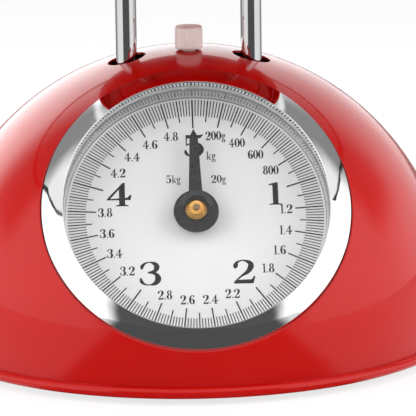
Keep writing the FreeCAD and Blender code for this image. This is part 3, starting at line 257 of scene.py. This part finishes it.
def dial_paint():
    finish = Finish("dial_paint", (0.82, 0.82, 0.825), 0.42, Specular_IOR_Level=0.35)
    finish.colour(finish.noise(26, 3), (0.81, 0.81, 0.815), (0.84, 0.84, 0.842))
    finish.roughness(finish.noise(300, 4), 0.38, 0.5)
    finish.relief(finish.noise(1600, 3), 0.05, 0.00003)
    return finish


def cup_paint():
    finish = Finish("cup_plate", (0.62, 0.62, 0.63), 0.2, 0.85)
    finish.colour(finish.noise(40, 3), (0.58, 0.58, 0.59), (0.68, 0.68, 0.69))
    finish.roughness(finish.noise(200, 4), 0.14, 0.28)
    finish.relief(finish.noise(700, 2), 0.04, 0.00003)
    return finish


def dial_ink():
    finish = Finish("dial_ink", (0.012, 0.012, 0.013), 0.5, Specular_IOR_Level=0.15)
    finish.colour(finish.noise(1500, 4), (0.008, 0.008, 0.009), (0.02, 0.02, 0.022))
    finish.roughness(finish.noise(900, 3), 0.35, 0.6)
    return finish


def pointer_paint():
    finish = Finish("pointer_paint", (0.015, 0.015, 0.016), 0.24, Specular_IOR_Level=0.35)
    finish.colour(finish.noise(220, 3), (0.007, 0.007, 0.008), (0.014, 0.014, 0.015))
    finish.roughness(finish.noise(500, 4), 0.15, 0.28)
    finish.relief(finish.noise(1400, 3), 0.08, 0.00003)
    return finish


def turned_brass():
    finish = Finish("turned_brass", (0.80, 0.43, 0.11), 0.2, 1.0)
    lathe = finish.rings(DIAL_CENTRE, 6000, OUT)
    finish.colour(finish.noise(300, 3), (0.70, 0.34, 0.08), (0.90, 0.52, 0.16))
    finish.roughness(lathe, 0.16, 0.34)
    finish.relief(lathe, 0.2, 0.00003)
    return finish


def knob_plastic():
    finish = Finish("knob_plastic", (0.95, 0.92, 0.89), 0.38, Subsurface_Weight=0.2, Subsurface_Scale=0.004)
    finish.shader.inputs["Subsurface Radius"].default_value = (1.0, 0.45, 0.3)
    finish.colour(finish.noise(70, 3), (0.94, 0.90, 0.86), (0.97, 0.94, 0.91))
    finish.roughness(finish.noise(380, 4), 0.30, 0.48)
    finish.relief(finish.noise(1100, 3), 0.06, 0.00004)
    return finish


def black_rubber():
    finish = Finish("black_rubber", (0.03, 0.03, 0.03), 0.7)
    finish.colour(finish.noise(120, 4), (0.022, 0.022, 0.022), (0.05, 0.049, 0.047))
    finish.roughness(finish.noise(400, 4), 0.6, 0.85)
    finish.relief(finish.noise(1300, 4), 0.25, 0.00006)
    return finish


def pale_rubber():
    finish = Finish("pale_rubber", (0.60, 0.60, 0.60), 0.5)
    finish.colour(finish.noise(150, 3), (0.56, 0.56, 0.56), (0.66, 0.66, 0.655))
    finish.roughness(finish.noise(500, 3), 0.42, 0.6)
    finish.relief(finish.noise(1200, 3), 0.1, 0.00004)
    return finish


def nylon():
    finish = Finish("nylon", (0.80, 0.79, 0.72), 0.45, Subsurface_Weight=0.1, Subsurface_Scale=0.002)
    finish.colour(finish.noise(120, 3), (0.76, 0.75, 0.68), (0.84, 0.83, 0.77))
    finish.roughness(finish.noise(500, 3), 0.38, 0.55)
    finish.relief(finish.noise(900, 3), 0.08, 0.00004)
    return finish


def clear_lens():
    """Clear window. It lets lamps shine straight through, as thin glass does."""
    finish = Finish("clear_lens", (1.0, 1.0, 1.0), 0.01, Transmission_Weight=1.0, IOR=1.3)
    finish.roughness(finish.noise(40, 3), 0.0, 0.02)
    path = finish.nodes.new("ShaderNodeLightPath")
    either = finish.nodes.new("ShaderNodeMath")
    either.operation = "MAXIMUM"
    finish.links.new(path.outputs["Is Shadow Ray"], either.inputs[0])
    finish.links.new(path.outputs["Is Diffuse Ray"], either.inputs[1])
    through = finish.nodes.new("ShaderNodeBsdfTransparent")
    mix = finish.nodes.new("ShaderNodeMixShader")
    finish.links.new(either.outputs[0], mix.inputs["Fac"])
    finish.links.new(finish.shader.outputs["BSDF"], mix.inputs[1])
    finish.links.new(through.outputs["BSDF"], mix.inputs[2])
    finish.links.new(mix.outputs["Shader"], finish.nodes["Material Output"].inputs["Surface"])
    return finish


def dress_frame():
    """Every CAD node gets its finish."""
    zinc = plated_steel("zinc_plate", (0.60, 0.61, 0.63), 0.32)
    bright = plated_steel("bright_steel", (0.66, 0.66, 0.67), 0.24)
    spring = plated_steel("spring_wire", (0.36, 0.36, 0.38), 0.3)
    show(red_enamel(), "dome_shell", "platform")
    show(chrome("bezel_chrome", 0.22), "dial_bezel")
    show(chrome("post_chrome", 0.08), "left_post", "right_post")
    show(bowl_steel(), "bowl")
    show(zinc, "base_pan", "chassis_frame", "skirt_tabs", "dial_brackets", "front_movement_plate",
         "rear_movement_plate", "movement_pillars", "upper_arm", "lower_arm", "drive_bracket",
         "upper_crosshead", "lower_crosshead", "post_plugs", "spring_yoke", "rack")
    show(bright, "base_screws", "chassis_screws", "movement_screws", "crosshead_screws", "drive_screw",
         "platform_screws", "cup_rivets", "bracket_rivets", "upper_frame_pin", "lower_frame_pin",
         "frame_pin_clips", "lower_spring_pins", "upper_carriage_pin", "lower_carriage_pin", "drive_pin",
         "yoke_pins", "zero_screw", "zero_clip")
    show(plated_steel("oiled_steel", (0.30, 0.20, 0.12), 0.35), "arbor")
    show(spring, "left_spring", "right_spring")
    show(dial_paint(), "dial_plate")
    show(cup_paint(), "dial_cup")
    show(clear_lens(), "dial_lens")
    show(black_rubber(), "rubber_feet")
    show(pale_rubber(), "lens_gasket")
    show(pointer_paint(), "pointer", "pointer_hub")
    show(turned_brass(), "hub_nut", "front_bush", "rear_bush", "zero_bush", "pinion")
    show(knob_plastic(), "zero_knob")
    show(nylon(), "rack_guide")


# ---- springs ----
HOOK = 0.006    # height of the hook at each end


def add_spring_half(node, name, upper):
    """Half of the CAD spring's own mesh, cut along its edges at mid height."""
    piece = bpy.data.objects.new(name, frame["nodes"][node].data.copy())
    bpy.context.collection.objects.link(piece)
    low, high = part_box(node)
    middle = (low + high) / 2
    half = bmesh.new()
    half.from_mesh(piece.data)
    spare = [face for face in half.faces if (face.calc_center_median().z > middle.z) != upper]
    bmesh.ops.delete(half, geom=spare, context="FACES")
    half.to_mesh(piece.data)
    half.free()
    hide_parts(node)
    return piece, middle, low.z + HOOK, high.z - HOOK


def add_stretching_spring(node):
    """The spring cut into an upper and a lower half, each a piece of its own, baked in place."""
    piece, middle, _, top = add_spring_half(node, node + "_upper", True)
    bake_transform(piece)
    piece, middle, bottom, _ = add_spring_half(node, node + "_lower", False)
    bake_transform(piece)


# ---- dial printing ----
INK_DEPTH = 0.03
INK_LIFT = 0.005
CAPACITY = 5000     # grams for one turn of the pointer
GRADUATION = 20
LABEL_STEP = 200
KILOGRAM = 1000
TICK_OUTER = 56.3
TICK_KINDS = (
    # every so many grams, inner radius, half width (mm)
    (KILOGRAM, 42.5, 0.34),
    (LABEL_STEP, 43.9, 0.31),
    (100, 45.7, 0.27),
    (GRADUATION, 48.4, 0.21),
)
STROKE_STEPS = 6
RING_STEPS = 40
RING_CONTRAST = 1.6


def dial_angle(grams):
    """Clockwise from the top of the dial."""
    return math.radians(grams * 360 / CAPACITY)


def ring_strokes(centre, reach, thin, thick):
    """A round stroke, thin at the top and bottom and thick at the sides."""
    points = []
    for step in range(RING_STEPS + 1):
        angle = 2 * math.pi * step / RING_STEPS
        side = abs(math.sin(angle)) ** RING_CONTRAST
        points.append((centre[0] + reach[0] * math.sin(angle), centre[1] + reach[1] * math.cos(angle),
                       thin + (thick - thin) * side))
    return points


# Each figure is drawn on a height of 100: strokes are (x, y, half width), plates are flat outlines.
FIGURES = {
    "0": {"width": 78, "rings": [((39, 50), (27, 48), 2.2, 9.5)]},
    "1": {"width": 52, "plates": [
        [(17, 4), (37, 4), (37, 100), (31, 100), (17, 96)],
        [(3, 0), (51, 0), (51, 3.5), (37, 7), (17, 7), (3, 3.5)],
        [(3, 92), (3, 88), (18, 88), (18, 96.5)]]},
    "2": {"width": 84, "strokes": [
        [(12, 64, 4), (14, 76, 9.5), (20, 90, 5), (40, 97.5, 2.5), (62, 88, 8.5), (67, 72, 11.5),
         (56, 50, 8.5), (34, 32, 4), (14, 12, 3)]],
        "plates": [[(6, 0), (74, 0), (82, 31), (77, 31), (68, 17), (26, 16), (8, 12)]]},
    "3": {"width": 86, "strokes": [
        [(14, 68, 3.5), (15, 80, 7), (26, 93, 4), (42, 97.5, 2.4), (60, 90, 8), (66, 76, 11),
         (58, 60, 7), (34, 54, 2.2)],
        [(34, 54, 2.2), (60, 49, 6.5), (70, 28, 12), (60, 9, 8.5), (40, 2.5, 2.4), (22, 6, 4),
         (12, 17, 6.5), (9, 32, 3)]]},
    "4": {"width": 90, "plates": [
        [(44, 4), (65, 4), (65, 100), (60, 100), (44, 80)],
        [(32, 0), (77, 0), (77, 3.5), (65, 7), (44, 7), (32, 3.5)],
        [(1, 26), (84, 26), (88, 48), (83, 48), (72, 36), (1, 31)],
        [(1, 26), (8, 26), (66, 100), (57, 100), (1, 31)]]},
    "5": {"width": 84, "strokes": [
        [(14, 52, 2.5), (28, 60, 3.5), (42, 62, 2.6), (60, 55, 8), (68, 33, 12), (58, 10, 8.5),
         (38, 2.5, 2.4), (22, 6, 4), (12, 17, 6.5), (9, 31, 3)]],
        "plates": [[(12, 50), (16, 50), (17, 84), (12, 100)],
                   [(12, 100), (12, 84), (66, 84), (78, 100), (76, 103), (66, 99)]]},
    "6": {"width": 80, "strokes": [
        [(66, 74, 3), (66, 85, 6.5), (56, 95, 3.5), (44, 97.5, 2.4), (24, 80, 7.5), (17, 50, 11),
         (22, 18, 8.5), (40, 2.5, 2.6), (60, 12, 8), (66, 30, 11), (58, 50, 7), (42, 57, 2.4),
         (27, 48, 2.2)]]},
    "8": {"width": 80, "rings": [((40, 76), (21, 21), 2.4, 7.5), ((40, 28), (25, 25.5), 2.4, 9.5)]},
    "k": {"width": 74, "strokes": [[(30, 30, 2.2), (58, 62, 2.2)], [(36, 38, 5.5), (58, 4, 7)]],
          "plates": [[(12, 3), (27, 3), (27, 100), (12, 100)], [(4, 0), (34, 0), (34, 3.5), (4, 3.5)],
                     [(3, 96), (13, 96), (13, 100), (3, 100)], [(46, 0), (72, 0), (72, 3.5), (46, 3.5)],
                     [(46, 61), (70, 61), (70, 64.5), (46, 64.5)]]},
    "g": {"width": 66, "rings": [((28, 44), (17, 19), 2.2, 6.5), ((30, -12), (22, 13), 2.6, 6)],
          "strokes": [[(26, 25, 2.2), (16, 14, 4), (30, 6, 4.5), (46, 2, 4)],
                      [(42, 56, 2.2), (52, 62, 2.6), (60, 58, 5)]]},
    ".": {"width": 26, "rings": [((12, 7), (3.6, 3.6), 3.7, 3.7)]},
}
FIGURE_GAP = 5


def smooth_stroke(points):
    """More points along a stroke, on a curve through the given ones."""
    if len(points) < 3:
        return points
    smooth = []
    for index in range(len(points) - 1):
        before = Vector(points[max(index - 1, 0)])
        first = Vector(points[index])
        second = Vector(points[index + 1])
        after = Vector(points[min(index + 2, len(points) - 1)])
        for step in range(STROKE_STEPS):
            part = step / STROKE_STEPS
            smooth.append(tuple(0.5 * (
                2 * first + (second - before) * part
                + (2 * before - 5 * first + 4 * second - after) * part ** 2
                + (3 * first - before - 3 * second + after) * part ** 3)))
    smooth.append(tuple(points[-1]))
    return smooth


class Print:
    """Flat ink on the dial, gathered into one mesh. Places are in millimetres across and up the dial."""

    def __init__(self):
        self.vertices = []
        self.faces = []

    def add_plate(self, outline):
        """A flat outline with ink's thickness, open underneath."""
        base = len(self.vertices)
        count = len(outline)
        for level in (INK_LIFT, INK_LIFT + INK_DEPTH):
            for x, y in outline:
                self.vertices.append(DIAL_CENTRE + (ACROSS * x + UP_DIAL * y + OUT * level) * MM)
        self.faces.append([base + count + index for index in range(count)])
        for index in range(count):
            after = (index + 1) % count
            self.faces.append([base + index, base + after, base + count + after, base + count + index])

    def add_stroke(self, points):
        """A ribbon whose width changes along its length."""
        edges = []
        for index, point in enumerate(points):
            ahead = Vector(points[min(index + 1, len(points) - 1)][:2])
            behind = Vector(points[max(index - 1, 0)][:2])
            along = (ahead - behind).normalized()
            side = Vector((-along.y, along.x)) * point[2]
            middle = Vector(point[:2])
            edges.append((middle + side, middle - side))
        for (left, right), (next_left, next_right) in zip(edges, edges[1:]):
            self.add_plate([tuple(right), tuple(next_right), tuple(next_left), tuple(left)])

    def add_figure(self, figure, x, y, height, stretch):
        """One figure, standing on a point at its lower left. Stretch widens or narrows it."""
        scale = height / 100
        shape = FIGURES[figure]
        for outline in shape.get("plates", []):
            self.add_plate([(x + a * scale * stretch, y + b * scale) for a, b in outline])
        lines = [smooth_stroke(stroke) for stroke in shape.get("strokes", [])]
        lines += [ring_strokes(*ring) for ring in shape.get("rings", [])]
        for line in lines:
            self.add_stroke([(x + a * scale * stretch, y + b * scale, w * scale) for a, b, w in line])

    def add_label(self, text, x, y, height, stretch):
        """Upright figures centred on a place."""
        step = height / 100 * stretch
        width = sum(FIGURES[figure]["width"] + FIGURE_GAP for figure in text) - FIGURE_GAP
        left = x - width * step / 2
        for figure in text:
            self.add_figure(figure, left, y - height / 2, height, stretch)
            left += (FIGURES[figure]["width"] + FIGURE_GAP) * step

    def finish(self, name, material):
        """Make the mesh, which rides with the housing."""
        mesh = bpy.data.meshes.new(name)
        mesh.from_pydata(self.vertices, [], self.faces)
        mesh.materials.append(material)
        piece = bpy.data.objects.new(name, mesh)
        bpy.context.collection.objects.link(piece)
        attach(piece, "housing")


def print_ticks(ink):
    """A tick for every graduation, longer and wider for rounder weights."""
    sheet = Print()
    for grams in range(0, CAPACITY, GRADUATION):
        inner, half = next((inner, half) for every, inner, half in TICK_KINDS if grams % every == 0)
        angle = dial_angle(grams)
        away = Vector((math.sin(angle), math.cos(angle)))
        side = Vector((away.y, -away.x)) * half
        start, end = away * inner, away * TICK_OUTER
        sheet.add_plate([tuple(start - side), tuple(start + side), tuple(end + side), tuple(end - side)])
    sheet.finish("dial_ticks", ink)


LARGE_FIGURES = (
    # kilograms, place across and up the dial, height
    ("5", 0.2, 33.9, 10.6),
    ("1", 35.2, 10.0, 10.8),
    ("2", 20.0, -26.9, 11.2),
    ("3", -20.8, -26.9, 11.2),
    ("4", -33.4, 11.0, 11.2),
)
LARGE_STRETCH = 1.12
SMALL_RADIUS = 39.9
SMALL_HEIGHT = 4.3
SMALL_STRETCH = 0.74
NARROW_STRETCH = 0.65   # for the labels of three figures
UNIT_LABELS = (
    # the unit beside the 5, and the capacity and graduation
    ("kg", 7.6, 29.0, 4.0),
    ("5kg", -9.4, 17.9, 3.8),
    ("20g", 10.6, 17.6, 3.8),
)


def small_labels():
    """The figures at every 200 g between the kilograms."""
    for grams in range(LABEL_STEP, CAPACITY, LABEL_STEP):
        if grams % KILOGRAM:
            text = f"{grams}" if grams < KILOGRAM else f"{grams / KILOGRAM:.1f}"
            yield grams, text + ("g" if grams == LABEL_STEP else "")


def print_figures(ink):
    """The kilograms, the labels between them and the units."""
    sheet = Print()
    for text, x, y, height in LARGE_FIGURES:
        sheet.add_label(text, x, y, height, LARGE_STRETCH)
    for grams, text in small_labels():
        angle = dial_angle(grams)
        stretch = NARROW_STRETCH if grams < KILOGRAM else SMALL_STRETCH
        sheet.add_label(text, SMALL_RADIUS * math.sin(angle), SMALL_RADIUS * math.cos(angle),
                        SMALL_HEIGHT, stretch)
    for text, x, y, height in UNIT_LABELS:
        sheet.add_label(text, x, y, height, SMALL_STRETCH)
    sheet.finish("dial_figures", ink)


def print_dial():
    ink = dial_ink().material
    print_ticks(ink)
    print_figures(ink)


# ---- studio ----
# the unlit sector in front of the dial: how fast it narrows to the sides, and how soft its edge is
SECTOR_SLOPE = 0.62
SECTOR_START = -0.02
SECTOR_SOFT = 0.22
# where the walls meet the ceiling, as the height of a unit direction
CEILING_EDGE = 0.577
SEAM_HALF = 0.011
SEAM_CORE = 0.6     # the darkest part of the seam's width
# where each change of brightness starts and ends, along a unit direction
HIGH_SPAN = (0.4, 0.7)
BESIDE_SPAN = (0.05, 0.25)
BESIDE_HEIGHT_SPAN = (0.2, 0.4)
BACK_SPAN = (0.45, 0.72)
BACK_SIDE_SPAN = (-0.5, 0.6)
FLOOR_BACK_SPAN = (0.1, 0.6)
# strengths in reflections
WALL_GLOW = 1.3
CEILING_GLOW = 0.95
SEAM_GLOW = 0.04
SECTOR_GLOW = 0.07
FLOOR_GLOW = 0.8
FLOOR_SECTOR_GLOW = 0.08
FLOOR_BEHIND = 0.3
SIDE_LOSS = 0.72
BACK_GAIN_LEFT = 0.95
BACK_GAIN_RIGHT = -0.2
# strengths to the eye and for soft light
WHITE = 1.05
SOFT_GLOW = 0.27
FLOOR_WHITE_PART = 0.72
FLOOR_REACH = 4.0
LAMPS = (
    # name, place, width, height, power
    ("top_light", (0.0, 0.1, 1.3), 1.3, 1.3, 13),
    ("left_light", (-1.1, -0.45, 0.6), 0.9, 1.1, 9.8),
    ("right_light", (1.1, -0.45, 0.6), 0.9, 1.1, 9.8),
    ("front_light", (0.0, -1.9, 1.1), 1.4, 0.6, 5),
)
LAMP_TARGET = Vector((0, 0, 0.08))


class Maths:
    """Short forms for the number nodes of one node tree."""

    def __init__(self, tree):
        self.nodes, self.links = tree.nodes, tree.links

    def run(self, operation, *values):
        """One sum, on numbers or on other nodes' outputs."""
        node = self.nodes.new("ShaderNodeMath")
        node.operation = operation
        for socket, value in zip(node.inputs, values):
            if isinstance(value, (int, float)):
                socket.default_value = value
            else:
                self.links.new(value, socket)
        return node.outputs["Value"]

    def times(self, *values):
        """All the values multiplied together."""
        product = values[0]
        for value in values[1:]:
            product = self.run("MULTIPLY", product, value)
        return product

    def less_from_one(self, value):
        return self.run("SUBTRACT", 1, value)

    def ramp(self, value, start, end, low, high):
        """A smooth step from low to high as the value goes from start to end."""
        node = self.nodes.new("ShaderNodeMapRange")
        node.interpolation_type = "SMOOTHSTEP"
        for socket, number in zip(("From Min", "From Max", "To Min", "To Max"), (start, end, low, high)):
            node.inputs[socket].default_value = number
        self.links.new(value, node.inputs["Value"])
        return node.outputs["Result"]

    def direction(self, vector):
        """The three parts of a vector made one long."""
        unit = self.nodes.new("ShaderNodeVectorMath")
        unit.operation = "NORMALIZE"
        self.links.new(vector, unit.inputs[0])
        parts = self.nodes.new("ShaderNodeSeparateXYZ")
        self.links.new(unit.outputs["Vector"], parts.inputs["Vector"])
        return [parts.outputs[axis] for axis in "XYZ"]

    def clear_of_front(self, x, y):
        """1 at the sides and back of the studio, and 0 in the unlit sector in front of the dial."""
        side = self.run("ADD", self.run("ABSOLUTE", x), self.run("MULTIPLY", y, SECTOR_SLOPE))
        return self.ramp(side, SECTOR_START, SECTOR_SOFT, 0, 1)

    def emission(self, strength):
        """Plain light of a strength that is a number or a node's output."""
        node = self.nodes.new("ShaderNodeEmission")
        if isinstance(strength, (int, float)):
            node.inputs["Strength"].default_value = strength
        else:
            self.links.new(strength, node.inputs["Strength"])
        return node.outputs["Emission"]

    def mix(self, factor, first, second):
        """The first shader where the factor is 0, and the second where it is 1."""
        node = self.nodes.new("ShaderNodeMixShader")
        if isinstance(factor, (int, float)):
            node.inputs["Fac"].default_value = factor
        else:
            self.links.new(factor, node.inputs["Fac"])
        self.links.new(first, node.inputs[1])
        self.links.new(second, node.inputs[2])
        return node.outputs["Shader"]


def floor_material():
    """Pale matt floor, bright to the eye. In reflections it is unlit in front, like the studio."""
    finish = Finish("pale_floor", (0.9, 0.9, 0.9), 0.6)
    finish.roughness(finish.noise(3, 2), 0.57, 0.63)
    maths = Maths(finish.material.node_tree)
    x, y, _ = maths.direction(finish.coordinates)
    behind = maths.ramp(y, *FLOOR_BACK_SPAN, 1, FLOOR_BEHIND)
    lit = maths.times(maths.ramp(maths.clear_of_front(x, y), 0, 1, FLOOR_SECTOR_GLOW, FLOOR_GLOW), behind)
    path = finish.nodes.new("ShaderNodeLightPath")
    seen = maths.mix(FLOOR_WHITE_PART, finish.shader.outputs["BSDF"], maths.emission(WHITE))
    plain = maths.mix(path.outputs["Is Camera Ray"], finish.shader.outputs["BSDF"], seen)
    look = maths.mix(path.outputs["Is Glossy Ray"], plain, maths.emission(lit))
    finish.links.new(look, finish.nodes["Material Output"].inputs["Surface"])
    return finish.material


def add_floor():
    """A square of floor, not part of the object."""
    corners = [(FLOOR_REACH * x, FLOOR_REACH * y, 0) for x, y in ((-1, -1), (1, -1), (1, 1), (-1, 1))]
    mesh = bpy.data.meshes.new("floor")
    mesh.from_pydata(corners, [], [(0, 1, 2, 3)])
    mesh.materials.append(floor_material())
    piece = bpy.data.objects.new("floor", mesh)
    bpy.context.collection.objects.link(piece)


def add_softbox(name, place, width, height, power):
    """A soft lamp. The studio's own walls are what shows in reflections."""
    data = bpy.data.lights.new(name, "AREA")
    data.shape = "RECTANGLE"
    data.size = width
    data.size_y = height
    data.energy = power
    lamp = bpy.data.objects.new(name, data)
    lamp.location = place
    lamp.rotation_euler = (LAMP_TARGET - Vector(place)).to_track_quat("-Z", "Y").to_euler()
    lamp.visible_glossy = False
    bpy.context.collection.objects.link(lamp)


def studio_reflection(maths, x, y, z):
    """What bright surfaces mirror: walls, a ceiling, the dark seam between them, and the unlit front."""
    walls = maths.ramp(z, CEILING_EDGE - SEAM_HALF, CEILING_EDGE + SEAM_HALF, WALL_GLOW, CEILING_GLOW)
    from_seam = maths.run("ABSOLUTE", maths.run("SUBTRACT", z, CEILING_EDGE))
    seam = maths.ramp(from_seam, SEAM_HALF * SEAM_CORE, SEAM_HALF, SEAM_GLOW, 1)
    high = maths.ramp(z, *HIGH_SPAN, 0, 1)
    clear = maths.run("MAXIMUM", maths.clear_of_front(x, y), high)
    lit = maths.ramp(clear, 0, 1, SECTOR_GLOW, 1)
    beside = maths.times(maths.ramp(y, *BESIDE_SPAN, 0, 1), maths.ramp(z, *BESIDE_HEIGHT_SPAN, 0, SIDE_LOSS))
    back = maths.ramp(y, *BACK_SPAN, 0, 1)
    dimmed = maths.less_from_one(maths.times(beside, maths.less_from_one(back)))
    gain = maths.times(back, maths.ramp(x, *BACK_SIDE_SPAN, BACK_GAIN_LEFT, BACK_GAIN_RIGHT))
    return maths.times(walls, dimmed, maths.run("ADD", 1, gain), seam, lit)


def add_world():
    """White to the eye, an even glow for soft light, and the studio in reflections."""
    world = bpy.data.worlds.new("studio")
    bpy.context.scene.world = world
    world.use_nodes = True
    maths = Maths(world.node_tree)
    x, y, z = maths.direction(maths.nodes.new("ShaderNodeTexCoord").outputs["Generated"])
    path = maths.nodes.new("ShaderNodeLightPath")
    plain = maths.mix(path.outputs["Is Camera Ray"], maths.emission(SOFT_GLOW), maths.emission(WHITE))
    mirrored = maths.emission(studio_reflection(maths, x, y, z))
    look = maths.mix(path.outputs["Is Glossy Ray"], plain, mirrored)
    maths.links.new(look, maths.nodes["World Output"].inputs["Surface"])


def add_studio():
    add_floor()
    add_world()
    for lamp in LAMPS:
        add_softbox(*lamp)
    bpy.context.scene.view_settings.view_transform = "Standard"


add_camera()
add_studio()
dress_frame()
add_stretching_spring("left_spring")
add_stretching_spring("right_spring")
print_dial()
